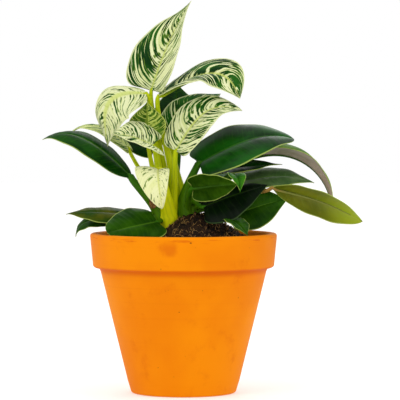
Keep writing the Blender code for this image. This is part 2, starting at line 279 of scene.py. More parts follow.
# ---- finishes -----------------------------------------------------------------------------------
@dataclass(frozen=True)
class Finish:
    """What a surface is like. Each kind of finish writes its own material."""

    name: str

    def write(self, recipe: Recipe) -> None:
        """Writes the finish into an empty material."""
        raise NotImplementedError(self.name)

    def make(self) -> bpy.types.Material:
        """Makes the material.

        Returns:
            The finished material.
        """
        recipe = Recipe(self.name)
        self.write(recipe)
        return recipe.material


@dataclass(frozen=True)
class StripedLeaf(Finish):
    """The upper face of a young leaf: green, with cream stripes that follow the side veins."""

    seed: float
    cream_share: float = 0.5
    paler_half: float = 0.0  # how much more cream the left half has than the right
    lines: float = 23.0
    lean: float = 0.16  # how far the stripes run towards the tip on their way to the margin
    dashes: float = 0.14  # how much the stripes are broken
    wander: float = 0.07  # how far the stripes stray from their lines
    evenness: float = 0.085  # how regularly the stripes follow each other
    fine_lines: float = 2.4  # fine stripes for each broad one
    soft_edge: float = 0.022
    midrib: float = 0.05
    rim: float = 0.9
    rim_from: float = 0.925  # where the pale margin starts, on the way from the midrib
    rim_to: float = 0.965
    green: Colour = srgb(34, 96, 18)
    deep: Colour = srgb(6, 52, 8)
    lime: Colour = srgb(140, 176, 66)
    cream: Colour = srgb(236, 240, 190)
    rib: Colour = srgb(210, 222, 120)
    gloss: float = 0.42
    cream_gloss: float = 0.12  # how much rougher the cream is
    mirror: float = 0.07
    vein_height: float = 0.3 * MM
    glow: float = 0.18

    def write(self, recipe: Recipe) -> None:
        """Writes the finish into an empty material.

        Args:
            recipe: The material being written.
        """
        along, across = recipe.along_and_across()
        signed = across * 2.0 - 1.0
        side = abs(signed)
        own = signed.step(-0.004, 0.004) * 7.0 + self.seed
        sway = recipe.noise(recipe.vector(along * 4.0, across * 3.0, self.seed), 1.0, 1.0)
        row = (along - side * side * self.lean + sway * self.wander) * self.lines
        # Noise drawn out from the midrib to the margin makes the stripes, broad, fine and broken.
        bold = recipe.noise(recipe.vector(row, side * 0.9, own), 1.0, 0.0)
        bold = 0.17 + bold * 0.66 + (row * 5.6 + sway * 9.0).sine() * self.evenness
        fine = recipe.noise(recipe.vector(row * self.fine_lines, side * 1.3, own + 3.0), 1.0, 0.0)
        breaks = recipe.noise(recipe.vector(row * 0.8, side * 5.5, own + 6.0), 1.0, 1.0)
        edge = 0.5 + (0.5 - self.cream_share) * 0.42 - signed * self.paler_half
        edge = edge + (breaks - 0.5) * (self.dashes * 2.0)
        wide = bold.step(edge - 0.012, edge + self.soft_edge)
        thin = fine.step(edge + 0.065, edge + 0.105) * 0.9
        fringe = bold.step(edge - 0.07, edge)
        near_rib = side.step(0.22, 0.02) * fine.step(edge - 0.06, edge)
        rib = side.step(self.midrib * 2.0, self.midrib * 0.7)
        margin = side.step(self.rim_from, self.rim_to) * self.rim
        pale = wide.larger(thin).larger(near_rib).larger(margin)
        tone = recipe.mix(sway.step(0.34, 0.66), self.deep, self.green)
        tone = recipe.mix(fringe * 0.62, tone, self.lime)
        cream = recipe.mix(fine.step(0.42, 0.72) * 0.45, self.cream, self.rib)
        tone = recipe.mix(pale, tone, cream)
        tone = recipe.mix(rib * 0.8, tone, self.rib)
        recipe.colour(tone)
        recipe.roughness(self.gloss + self.cream_gloss * pale)
        recipe.reflects(self.mirror)
        vein = (row * (math.pi * 0.9)).sine()
        recipe.relief(vein * 0.45 + bold * 0.55, self.vein_height, 0.6)
        recipe.lets_light_through(tone, self.glow)


@dataclass(frozen=True)
class PlainLeaf(Finish):
    """A leaf that is all one green, with a pale midrib, faint side veins and a thin pale margin."""

    seed: float
    light: Colour = srgb(24, 92, 14)
    dark: Colour = srgb(4, 48, 4)
    rib: Colour = srgb(96, 142, 40)
    margin: Colour = srgb(176, 196, 96)
    tip: Colour | None = None
    veins: float = 11.0
    vein_tint: float = 0.07
    rib_tint: float = 0.45
    rib_width: float = 0.045  # its half width, as a share of the leaf's
    rim_from: float = 0.945  # where the pale margin starts, on the way from the midrib
    rim_to: float = 0.98
    gloss: float = 0.32
    mirror: float = 0.05
    vein_height: float = 0.3 * MM
    glow: float = 0.06

    def write(self, recipe: Recipe) -> None:
        """Writes the finish into an empty material.

        Args:
            recipe: The material being written.
        """
        along, across = recipe.along_and_across()
        side = abs(across * 2.0 - 1.0)
        cloud = recipe.noise(recipe.vector(along * 3.0, across * 2.0, self.seed), 1.3, 3.0)
        streak = recipe.noise(recipe.vector(along * 46.0, across * 3.0, self.seed), 1.0, 3.0)
        vein = (along * self.veins * math.pi * 2.0 + cloud * 1.5).sine()
        line = vein.step(0.82, 1.0) * side.step(0.95, 0.5)
        tone = recipe.mix(cloud.step(0.32, 0.68), self.dark, self.light)
        tone = recipe.mix(streak.step(0.5, 0.75) * 0.35, tone, self.light)
        tone = recipe.mix(line * self.vein_tint, tone, self.rib)
        if self.tip is not None:
            tone = recipe.mix(along.step(0.45, 1.0), tone, self.tip)
        rib = side.step(self.rib_width, 0.4 * self.rib_width) * along.step(1.0, 0.7)
        tone = recipe.mix(rib * self.rib_tint, tone, self.rib)
        tone = recipe.mix(side.step(self.rim_from, self.rim_to) * 0.7, tone, self.margin)
        recipe.colour(tone)
        recipe.roughness(self.gloss + 0.1 * streak)
        recipe.reflects(self.mirror)
        recipe.relief(vein * 0.4 + streak * 0.3 + cloud * 0.3, self.vein_height, 0.4)
        recipe.lets_light_through(tone, self.glow)


@dataclass(frozen=True)
class FreshStalk(Finish):
    """A leaf stalk: smooth and streaked lengthwise, from its foot to the blade."""

    foot: Colour = srgb(226, 232, 10)
    head: Colour = srgb(200, 214, 18)
    streak: Colour = srgb(158, 184, 8)
    rib: Colour = srgb(112, 140, 40)
    seed: float = 0.0
    gloss: float = 0.4
    mirror: float = 0.1
    streak_height: float = 0.2 * MM
    glow: float = 0.2
    rib_from: float = 0.57  # where the stalk gives way to the midrib's underside
    rib_to: float = 0.68

    def write(self, recipe: Recipe) -> None:
        """Writes the finish into an empty material.

        Args:
            recipe: The material being written.
        """
        along, across = recipe.along_and_across()
        band = recipe.noise(recipe.vector(along * 3.0, across * 16.0, self.seed), 1.0, 3.0)
        fleck = recipe.noise(recipe.vector(along * 60.0, across * 20.0, self.seed), 1.0, 2.0)
        tone = recipe.mix(along.step(0.08, 0.5), self.foot, self.head)
        tone = recipe.mix(band.step(0.42, 0.72) * 0.8, tone, self.streak)
        tone = recipe.mix(fleck.step(0.66, 0.78) * 0.35, tone, self.streak)
        tone = recipe.mix(along.step(self.rib_from, self.rib_to), tone, self.rib)
        recipe.colour(tone)
        recipe.roughness(self.gloss + 0.12 * band)
        recipe.reflects(self.mirror)
        recipe.relief(band * 0.8 + fleck * 0.2, self.streak_height, 0.5)
        recipe.lets_light_through(tone, self.glow)


@dataclass(frozen=True)
class FiredClay(Finish):
    """Orange fired clay, matte, cloudy and finely pored, with smudges, specks, turning marks and
    painted shade under the band.
    """

    name: str = "fired_clay"
    base: Colour = srgb(225, 123, 1)
    warm: Colour = srgb(232, 134, 1)
    # the smudges' colour, which also paints the shade in the crease under the band
    smudge_and_shade: Colour = srgb(202, 88, 4)
    speck: Colour = srgb(96, 48, 10)
    band_foot: float = 0.1005
    lip: float = 0.1275
    spot_place: Point = (0.0060, -0.0740, 0.1236)
    spot_size: float = 1.3e-6  # the square of its radius
    smudge_place: Point = (-0.0120, -0.0745, 0.1190)
    smudge_size: float = 110e-6  # the square of its radius
    shadow: float = 0.75  # how strong the painted shade in the crease under the band is
    shadow_below: float = 0.006  # how far down it reaches
    shadow_above: float = 0.0022
    wear: float = 0.6  # how marked the scuffs are below the lip
    gloss: float = 0.5
    mirror: float = 0.05
    pore_depth: float = 0.25 * MM

    @staticmethod
    def off(place: tuple[Reading, Reading, Reading], at: Point, flat: float) -> Reading:
        """The squared distance from a place, in which height counts for more or less.

        Args:
            place: The readings of the point's place.
            at: The place that the distance is measured from.
            flat: How much height counts.

        Returns:
            The squared distance.
        """
        x, y, z = (part - middle for part, middle in zip(place, at))
        return x * x + y * y + z * z * flat

    def write(self, recipe: Recipe) -> None:
        """Writes the finish into an empty material.

        Args:
            recipe: The material being written.
        """
        place = recipe.place()
        x, y, z = place
        where = recipe.vector(x, y, z)
        cloud = recipe.noise(where, 16.0, 3.0)
        patch = recipe.noise(where, 46.0, 4.0, 0.65)
        pore = recipe.noise(where, 1600.0, 2.0)
        fleck = recipe.noise(where, 330.0, 1.0)
        scuff = recipe.noise(recipe.vector(x * 60.0, y * 60.0, z * 700.0), 1.0, 3.0)
        turning = recipe.noise(recipe.vector(x * 3.0, y * 3.0, z * 420.0), 1.0, 2.0)
        tone = recipe.mix(cloud.step(0.35, 0.65), self.base, self.warm)
        tone = recipe.mix(patch.step(0.56, 0.78) * 0.4, tone, self.smudge_and_shade)
        tone = recipe.mix(pore.step(0.62, 0.75) * 0.14, tone, self.smudge_and_shade)
        tone = recipe.mix(turning.step(0.55, 0.8) * 0.12, tone, self.smudge_and_shade)
        # Painted shade: the wall just under the band, where the band's overhang shades it, is
        # darkened with the smudges' colour.
        shadowed = z.step(self.band_foot - self.shadow_below, self.band_foot - 0.0006)
        shadowed = shadowed * z.step(self.band_foot + self.shadow_above, self.band_foot + 0.0002)
        tone = recipe.mix(shadowed * self.shadow, tone, self.smudge_and_shade)
        rubbed = self.off(place, self.smudge_place, 1.6) + (patch - 0.5) * 300e-6
        tone = recipe.mix(rubbed.step(self.smudge_size, 0.0) * 0.55, tone, self.smudge_and_shade)
        worn = z.step(self.lip - 0.0055, self.lip - 0.003) * z.step(self.lip, self.lip - 0.0025)
        tone = recipe.mix(worn * scuff.step(0.56, 0.66) * self.wear, tone, self.smudge_and_shade)
        tone = recipe.mix(fleck.step(0.79, 0.83) * 0.6, tone, self.speck)
        spot = self.off(place, self.spot_place, 2.0) + (patch - 0.5) * 1.0e-6
        tone = recipe.mix(spot.step(self.spot_size, 0.4e-6) * 0.9, tone, self.speck)
        recipe.colour(tone)
        recipe.roughness(self.gloss + 0.16 * patch)
        recipe.reflects(self.mirror)
        recipe.relief(pore * 0.5 + turning * 0.3 + patch * 0.2, self.pore_depth, 0.5)


@dataclass(frozen=True)
class PottingMix(Finish):
    """Dark crumbly soil with lighter crumbs."""

    name: str = "potting_mix"
    dark: Colour = srgb(16, 9, 4)
    brown: Colour = srgb(48, 31, 16)
    light: Colour = srgb(112, 84, 50)
    gloss: float = 0.82
    mirror: float = 0.15
    grit_height: float = 1.2 * MM

    def write(self, recipe: Recipe) -> None:
        """Writes the finish into an empty material.

        Args:
            recipe: The material being written.
        """
        x, y, z = recipe.place()
        where = recipe.vector(x, y, z)
        lump = recipe.noise(where, 220.0, 4.0, 0.7)
        grit = recipe.noise(where, 900.0, 3.0, 0.7)
        tone = recipe.mix(lump.step(0.38, 0.62), self.dark, self.brown)
        tone = recipe.mix(grit.step(0.58, 0.7) * 0.6, tone, self.light)
        recipe.colour(tone)
        recipe.roughness(self.gloss + 0.15 * grit)
        recipe.reflects(self.mirror)
        recipe.relief(lump * 0.5 + grit * 0.5, self.grit_height)


@dataclass(frozen=True)
class DryFibre(Finish):
    """Dry plant matter: papery, streaked brown."""

    pale: Colour = srgb(150, 110, 58)
    dark: Colour = srgb(74, 44, 20)
    stretch: float = 3.0
    gloss: float = 0.62
    mirror: float = 0.2
    streak_height: float = 0.4 * MM

    def write(self, recipe: Recipe) -> None:
        """Writes the finish into an empty material.

        Args:
            recipe: The material being written.
        """
        x, y, z = recipe.place()
        where = recipe.vector(x, y * self.stretch, z * self.stretch)
        streak = recipe.noise(where, 380.0, 4.0, 0.7)
        tone = recipe.mix(streak.step(0.36, 0.64), self.dark, self.pale)
        recipe.colour(tone)
        recipe.roughness(self.gloss + 0.25 * streak)
        recipe.reflects(self.mirror)
        recipe.relief(streak, self.streak_height)


@dataclass(frozen=True)
class PaleFloor(Finish):
    """The plain floor of the studio."""

    name: str = "pale_floor"
    shade: Colour = (0.72, 0.71, 0.69)
    glow: Colour = (1.0, 0.99, 0.97)
    glow_strength: float = 0.36
    gloss: float = 0.7
    mirror: float = 0.1

    def write(self, recipe: Recipe) -> None:
        """Writes the finish into an empty material.

        Args:
            recipe: The material being written.
        """
        recipe.shader.inputs["Base Color"].default_value = (*self.shade, 1)
        recipe.shader.inputs["Emission Color"].default_value = (*self.glow, 1)
        recipe.shader.inputs["Emission Strength"].default_value = self.glow_strength
        recipe.roughness(self.gloss)
        recipe.reflects(self.mirror)


# ---- modelling tools ----------------------------------------------------------------------------
def begin() -> None:
    """Leaves nothing selected, in object mode."""
    if bpy.context.mode != "OBJECT":
        bpy.ops.object.mode_set(mode="OBJECT")
    bpy.ops.object.select_all(action="DESELECT")


@contextmanager
def editing(piece: bpy.types.Object) -> Iterator[None]:
    """Opens a piece for editing with all of it selected, and closes it afterwards.

    Args:
        piece: The piece.

    Yields:
        Nothing. The editing is done while it is open.
    """
    begin()
    bpy.context.view_layer.objects.active = piece
    bpy.ops.object.mode_set(mode="EDIT")
    bpy.ops.mesh.select_all(action="SELECT")
    yield
    bpy.ops.object.mode_set(mode="OBJECT")


def named(name: str) -> bpy.types.Object:
    """Names the object that was just added.

    Args:
        name: The name for the object and its mesh.

    Returns:
        The object.
    """
    piece = bpy.context.active_object
    piece.name = name
    piece.data.name = name
    return piece


def finish_piece(piece: bpy.types.Object, angle: float = 60.0) -> bpy.types.Object:
    """Applies a piece's modifiers and place, and shades it smooth.

    Args:
        piece: The piece.
        angle: The angle between faces up to which it is smooth, in degrees.

    Returns:
        The piece.
    """
    begin()
    bpy.context.view_layer.objects.active = piece
    piece.select_set(True)
    for modifier in list(piece.modifiers):
        bpy.ops.object.modifier_apply(modifier=modifier.name)
    bpy.ops.object.transform_apply(location=True, rotation=True, scale=True)
    bpy.ops.object.shade_smooth_by_angle(angle=math.radians(angle))
    return piece


def merge_and_turn_out(piece: bpy.types.Object, distance: float = 0.01 * MM) -> None:
    """Merges points that coincide and turns the faces outwards.

    Args:
        piece: The piece.
        distance: How near to each other such points are, in metres.
    """
    with editing(piece):
        bpy.ops.mesh.remove_doubles(threshold=distance)
        bpy.ops.mesh.normals_make_consistent(inside=False)


def dress(piece: bpy.types.Object, materials: Iterable[bpy.types.Material]) -> None:
    """Gives a piece its materials.

    Args:
        piece: The piece.
        materials: The material of each of its slots, in order.
    """
    piece.data.materials.clear()
    for material in materials:
        piece.data.materials.append(material)


def place_in_record(piece: bpy.types.Object, slot: str, *nodes: str) -> None:
    """Fixes a piece to the body, hides the plain nodes that it stands for and logs its faces.

    Args:
        piece: The piece.
        slot: The record's material slot. Not used.
        *nodes: The plain nodes that it stands for.
    """
    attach(piece, BODY)
    if nodes:
        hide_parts(*nodes)
    log.info("%s: %d faces", piece.name, len(piece.data.polygons))


def turned(name: str, sides: int, rings: list[tuple[float, float]]) -> bpy.types.Object:
    """Turns an outline about the upright axis, ring by ring.

    Args:
        name: The piece's name.
        sides: The number of points in each ring.
        rings: Radius and height of each ring, from the underside's edge up and round.

    Returns:
        The closed body.
    """
    begin()
    radius, height = rings[0]
    bpy.ops.mesh.primitive_circle_add(
        vertices=sides, radius=radius, fill_type="NGON", location=(0, 0, height)
    )
    piece = named(name)
    bpy.ops.object.transform_apply(location=True, rotation=False, scale=False)
    bpy.ops.object.mode_set(mode="EDIT")
    bpy.ops.mesh.select_mode(type="EDGE")
    bpy.ops.mesh.select_all(action="SELECT")
    bpy.ops.mesh.duplicate()
    bpy.ops.mesh.delete(type="ONLY_FACE")
    bpy.ops.mesh.select_all(action="DESELECT")
    bpy.ops.mesh.select_non_manifold()
    bpy.ops.mesh.remove_doubles(threshold=0.000001)
    for out, up in rings[1:]:
        bpy.ops.mesh.extrude_region_move(TRANSFORM_OT_translate={"value": (0, 0, up - height)})
        grow = out / radius
        bpy.ops.transform.resize(value=(grow, grow, 1), center_override=(0, 0, up))
        radius, height = out, up
    bpy.ops.mesh.edge_face_add()
    bpy.ops.object.mode_set(mode="OBJECT")
    merge_and_turn_out(piece)
    return piece


def sheet(
    name: str, rows: int, columns: int, shape: Callable[[float, float], tuple[Vector, float]]
) -> bpy.types.Object:
    """Shapes a flat grid into a sheet.

    Args:
        name: The piece's name.
        rows: Faces along it.
        columns: Faces across it.
        shape: Gives a point and its share of the length, for two numbers from 0 to 1.

    Returns:
        The sheet, with its own map of length and width.
    """
    begin()
    bpy.ops.mesh.primitive_grid_add(x_subdivisions=rows, y_subdivisions=columns, size=2)
    piece = named(name)
    lengths = []
    for corner in piece.data.vertices:
        across = (corner.co.y + 1) / 2
        corner.co, length = shape((corner.co.x + 1) / 2, across)
        lengths.append((length, across))
    layer = piece.data.uv_layers[0]
    layer.name = "UVMap"
    for loop in piece.data.loops:
        layer.data[loop.index].uv = lengths[loop.vertex_index]
    return piece


def tube(
    name: str,
    route: list[Vector],
    radii: list[float],
    sides: int = 14,
    upward: Vector | None = None,
    channel: float = 0.0,
    flatness: list[float] | None = None,
) -> bpy.types.Object:
    """Rolls a sheet into a tube along a route.

    Args:
        name: The piece's name.
        route: The points of its centre line.
        radii: The radius at each point.
        sides: Faces round it.
        upward: The side that carries the channel.
        channel: How deep the channel is, as a share of the radius.
        flatness: How much wider than thick it is at each point.

    Returns:
        The closed tube.
    """
    rows = len(route) - 1
    frames = []
    side_hint = upward or UP
    for i, point in enumerate(route):
        ahead = (route[min(i + 1, rows)] - route[max(i - 1, 0)]).normalized()
        across = ahead.cross(side_hint)
        if across.length < 0.05:
            across = frames[-1][1] if frames else ahead.orthogonal()
        across.normalize()
        if frames and across.dot(frames[-1][1]) < 0:
            across.negate()
        over = across.cross(ahead).normalized()
        frames.append((point, across, over))

    def shape(along: float, around: float) -> tuple[Vector, float]:
        """A point on the tube's skin.

        Args:
            along: The share of the way along.
            around: The share of the way round.

        Returns:
            The point, and the share of the way along.
        """
        i = round(along * rows)
        point, across, over = frames[i]
        turn = around * 2 * math.pi
        dip = 1 - channel * math.exp(-(((around - 0.5) * 6.0) ** 2) * 2)
        wide = flatness[i] if flatness else 1.0
        reach = radii[i] * dip
        out = across * (math.sin(turn) * reach * wide) - over * (math.cos(turn) * reach)
        return point + out, along

    piece = sheet(name, rows, sides, shape)
    with editing(piece):
        bpy.ops.mesh.remove_doubles(threshold=0.002 * MM)
        bpy.ops.mesh.select_all(action="DESELECT")
        bpy.ops.mesh.select_mode(type="EDGE")
        bpy.ops.mesh.select_non_manifold()
        bpy.ops.mesh.fill_holes(sides=0)
        bpy.ops.mesh.select_all(action="SELECT")
        bpy.ops.mesh.normals_make_consistent(inside=False)
    return piece


# ---- the pot and the soil -----------------------------------------------------------------------
@dataclass
class ClayPot:
    """The turned pot. Sizes are in metres."""

    height: float = 0.128
    rim: float = 0.075
    rim_taper: float = 0.0022
    band: float = 0.0275
    wall_top: float = 0.0673
    foot: float = 0.0425
    wall: float = 0.0055
    floor: float = 0.008
    round_foot: float = 0.0022
    round_lip: float = 0.0022
    round_band: float = 0.0026
    crease: tuple[float, float] = (0.0012, 0.0008)  # how far the wall's top runs into the band
    below_crease: float = 0.003  # how far below the band the wall's last ring is
    wall_lean: float = -14  # the angle at which the foot's rounding meets the wall, in degrees
    wall_rings: int = 12
    band_rings: int = 5
    inner_rings: int = 6
    drains: int = 3
    drain_radius: float = 0.004
    drain_circle: float = 0.024
    drain_turn: float = 0.25  # the first hole's place, as a share of the way to the second
    sides: int = 160
    worn_edge: float = 0.0005  # how far below the top the wear of the lip starts

    def outside(self, height: float) -> float:
        """The wall's outer radius at a height."""
        return self.foot + (self.wall_top - self.foot) * height / (self.height - self.band)

    @staticmethod
    def rounding(
        centre: tuple[float, float], radius: float, start: float, end: float, steps: int = 6
    ) -> list[tuple[float, float]]:
        """Points on a rounded edge.

        Args:
            centre: The rounding's centre: radius and height.
            radius: Its radius.
            start: The angle that it starts at, in degrees.
            end: The angle that it ends at.
            steps: The number of flats.

        Returns:
            Radius and height of each point.
        """
        turns = [math.radians(start + (end - start) * i / steps) for i in range(steps + 1)]
        return [(centre[0] + radius * math.cos(t), centre[1] + radius * math.sin(t)) for t in turns]

    def outline(self) -> list[tuple[float, float]]:
        """The pot's outline, from the underside's edge up the outside and down the inside.

        Returns:
            Radius and height of each point.
        """
        band_foot = self.height - self.band
        edge = self.rim - self.rim_taper
        low = self.round_foot
        points = self.rounding((self.foot - low, low), low, -90, self.wall_lean)
        for i in range(1, self.wall_rings + 1):
            up = low + (band_foot - self.below_crease - low) * i / self.wall_rings
            points.append((self.outside(up), up))
        out, down = self.crease
        wall = self.outside(band_foot)
        points += [(wall + out / 6, band_foot - down), (wall + out, band_foot)]
        points += self.rounding(
            (edge - self.round_band, band_foot + self.round_band), self.round_band, -90, 0
        )
        top = self.height - self.round_lip
        for i in range(1, self.band_rings):
            share = i / self.band_rings
            up = band_foot + self.round_band + (top - band_foot - self.round_band) * share
            points.append((edge + self.rim_taper * share, up))
        points += self.rounding((self.rim - self.round_lip, top), self.round_lip, 0, 90)
        inner = self.outside(self.height) - self.wall
        points += self.rounding((inner + self.round_lip, top), self.round_lip, 90, 180)
        for i in range(1, self.inner_rings):
            up = top + (self.floor - top) * i / self.inner_rings
            points.append((self.outside(up) - self.wall, up))
        points.append((self.outside(self.floor) - self.wall - 0.001, self.floor))
        return points

    def build(self) -> bpy.types.Object:
        """Turns the pot and drills its drain holes.

        Returns:
            The finished pot.
        """
        pot = turned("clay_pot", self.sides, self.outline())
        for hole in range(self.drains):
            turn = 2 * math.pi * (hole + self.drain_turn) / self.drains
            begin()
            bpy.ops.mesh.primitive_cylinder_add(
                vertices=32,
                radius=self.drain_radius,
                depth=3 * self.floor,
                location=(
                    self.drain_circle * math.cos(turn),
                    self.drain_circle * math.sin(turn),
                    self.floor / 2,
                ),
            )
            drill = named(f"drill_{hole}")
            bore = pot.modifiers.new("drain", "BOOLEAN")
            bore.operation = "DIFFERENCE"
            bore.solver = "EXACT"
            bore.object = drill
            begin()
            bpy.context.view_layer.objects.active = pot
            bpy.ops.object.modifier_apply(modifier=bore.name)
            bpy.data.objects.remove(drill)
        finish_piece(pot, 35)
        clay = FiredClay(band_foot=self.height - self.band, lip=self.height - self.worn_edge)
        dress(pot, [clay.make()])
        place_in_record(pot, "clay", "pot")
        return pot


@dataclass
class SoilBed:
    """The potting mix, mounded towards the crowns, with crumbs and fibres lying on it."""

    pot: ClayPot
    below_lip: float = 0.009
    mound: float = 0.025
    mound_centre: tuple[float, float] = (0.010, 0.0)
    mound_radius: float = 0.058
    rings: int = 34
    sides: int = 128
    gap: float = 0.0004  # between the soil and the pot
    foot_gap: float = 0.002  # the same at the soil's lower edge
    calm_edge: float = 0.002  # how far in the lumps reach their full height
    shore: float = 0.006  # how far the crumbs and fibres keep from the pot
    lump: float = 0.00132
    lump_scale: float = 130
    grain_scale: float = 310
    crumbs: int = 900
    crumb_size: tuple[float, float] = (0.4, 1.3)  # millimetres
    fibres: int = 620
    fibre_length: tuple[float, float] = (1.6, 5.5)  # millimetres
    fibre_radius: tuple[float, float] = (0.11, 0.22)  # millimetres
    fibre_bend: float = 2.6
    fibre_steps: int = 5
    seed: int = 11

    def level(self, x: float, y: float) -> float:
        """The soil's height at a place, without its lumps."""
        far = min(1.0, math.dist((x, y), self.mound_centre) / self.mound_radius)
        return self.pot.height - self.below_lip + self.mound * math.cos(far * math.pi / 2) ** 2

    def surface(self, x: float, y: float) -> float:
        """The soil's height at a place, lumps and all.

        Args:
            x: The place across.
            y: The place back.

        Returns:
            The height, in metres.
        """
        place = Vector((x, y, 0.0))
        grain = noise.noise(place * self.grain_scale + Vector((5, 3, 1)))
        return self.level(x, y) + self.lump * (noise.noise(place * self.lump_scale) + 0.55 * grain)

    def build(self) -> None:
        """Makes the bed, the crumbs and the fibres."""
        self.bed()
        self.crumb_layer()
        self.fibre_layer()

    def bed(self) -> None:
        """Makes the body of the soil."""
        edge = self.pot.height - self.below_lip
        inner = self.pot.outside(edge) - self.pot.wall - self.gap
        bottom = self.pot.outside(self.pot.floor) - self.pot.wall - self.foot_gap
        rings = [(bottom, self.pot.floor + self.gap)]
        for ring in range(self.rings):
            rings.append((inner * (1 - ring / self.rings), edge))
        bed = turned("soil_bed", self.sides, rings)
        for corner in bed.data.vertices:
            x, y, z = corner.co
            if z > edge - self.gap:
                fade = min(1.0, (inner - math.hypot(x, y)) / self.calm_edge)
                rise = self.surface(x, y) - edge
                corner.co.z = edge + rise * fade
        finish_piece(bed, 80)
        dress(bed, [PottingMix().make()])
        place_in_record(bed, "soil", "soil")

    def spot(self, chance: random.Random) -> tuple[float, float]:
        """A chance place on the soil.

        Args:
            chance: Where the random numbers come from.

        Returns:
            The place across and back.
        """
        edge = self.pot.outside(self.pot.height) - self.pot.wall - self.shore
        turn = chance.uniform(0, 2 * math.pi)
        out = edge * math.sqrt(chance.random())
        return out * math.cos(turn), out * math.sin(turn)

    def crumb_layer(self) -> None:
        """Makes the crumbs of bark and peat, each an uneven little stone."""
        chance = random.Random(self.seed)
        begin()
        bpy.ops.mesh.primitive_ico_sphere_add(subdivisions=1, radius=0.001)
        layer = named("soil_crumbs")
        bpy.ops.object.mode_set(mode="EDIT")
        bpy.ops.mesh.delete(type="VERT")
        for _ in range(self.crumbs):
            x, y = self.spot(chance)
            size = chance.uniform(*self.crumb_size) * MM * chance.choice((0.7, 1.0, 1.0, 1.5))
            bpy.ops.mesh.primitive_ico_sphere_add(
                subdivisions=1,
                radius=size,
                location=(x, y, self.surface(x, y) + size * 0.35),
                rotation=[chance.uniform(0, 3) for _ in range(3)],
                scale=(1, chance.uniform(0.6, 1.2), chance.uniform(0.5, 0.9)),
            )
        bpy.ops.object.mode_set(mode="OBJECT")
        for corner in layer.data.vertices:
            corner.co += noise.noise_vector(corner.co * 900) * 0.4 * MM
        finish_piece(layer, 20)
        dress(layer, [DryFibre("bark_crumb", srgb(84, 56, 32), srgb(22, 13, 7), 1.0).make()])
        place_in_record(layer, "soil")

    def fibre_layer(self) -> None:
        """Makes the short golden fibres that lie across the crumbs."""
        chance = random.Random(self.seed + 1)
        reach = self.pot.outside(self.pot.height) - self.pot.wall - self.calm_edge
        strands = []
        for number in range(self.fibres):
            x, y = self.spot(chance)
            turn = chance.uniform(0, 2 * math.pi)
            bend = chance.uniform(-self.fibre_bend, self.fibre_bend)
            length = chance.uniform(*self.fibre_length) * MM
            route = []
            for i in range(self.fibre_steps + 1):
                share = i / self.fibre_steps
                now = turn + bend * share
                x += math.cos(now) * length / self.fibre_steps
                y += math.sin(now) * length / self.fibre_steps
                if math.hypot(x, y) > reach:
                    break
                hop = math.sin(math.pi * share) * chance.uniform(0.2, 1.8) * MM
                route.append(Vector((x, y, self.surface(x, y) + 0.5 * MM + hop)))
            if len(route) > 2:
                radius = chance.uniform(*self.fibre_radius) * MM
                strands.append(tube(f"strand_{number}", route, [radius] * len(route), 4))
        begin()
        for strand in strands:
            strand.select_set(True)
        bpy.context.view_layer.objects.active = strands[0]
        bpy.ops.object.join()
        layer = named("soil_fibres")
        finish_piece(layer, 60)
        dress(layer, [DryFibre("golden_fibre", srgb(196, 158, 96), srgb(112, 78, 36)).make()])
        place_in_record(layer, "soil")


# ---- the plant ----------------------------------------------------------------------------------
STEM_DEPTH = 0.030
STEM_TAPER = 0.55  # how much thinner a stem is at its top
STEM_END = 0.0015  # how far its end is rounded in
STEM_STEPS = 24
STEM_RINGS = 12
RING_HEIGHT = 0.0005


class Stem(Enum):
    """The two short stems that the stalks grow from: place across and back, radius and top."""

    LEFT = (-0.013, 0.002, 0.0065, 0.160)
    RIGHT = (0.005, 0.004, 0.0060, 0.164)

    def root(self, soil: SoilBed) -> float:
        """The height of its lower end, in the soil."""
        x, y, _, _ = self.value
        return soil.level(x, y) - STEM_DEPTH


class Kind(Enum):
    """What a leaf's faces look like."""

    STRIPED = "striped_leaf"
    CREAM = "cream_leaf"
    GREEN = "green_leaf"
    OLIVE = "olive_leaf"


@dataclass
class Leaf:
    """A blade and its stalk. Lengths are in millimetres and angles in degrees."""

    name: str
    stem: Stem
    foot: tuple[float, float]  # where the stalk starts: direction round the stem, and height
    base: tuple[float, float, float]  # where the blade meets its stalk
    heading: float  # direction of the midrib there: 0 is to the right, 90 is away
    rise: float  # its slope there, upwards
    roll: float  # turn about the midrib, left side up
    length: float
    width: float
    curl: float = 50  # how far the tip bends down
    sweep: float = 0  # how far it bends to the left
    twist: float = 0
    fold: float = 25  # how far each half is raised at the midrib
    bend_at: float = 0.7  # the share of the way at which it bends most
    sharp: float = 4  # how sharply it bends there
    lobe: float = 0.12  # how far the lobes reach back past the stalk
    widest: float = 0.32  # the share of the way at which it is widest
    stout: float = 1.0  # the stalk's girth, as a share of an ordinary one's
    blunt: float = 0.0  # how much fuller the tip is
    halves: tuple[float, float] = (1.0, 1.0)  # the widths of the left and right halves
    kind: Kind = Kind.GREEN
    waves: float = 0.6  # how far the margin waves, in millimetres


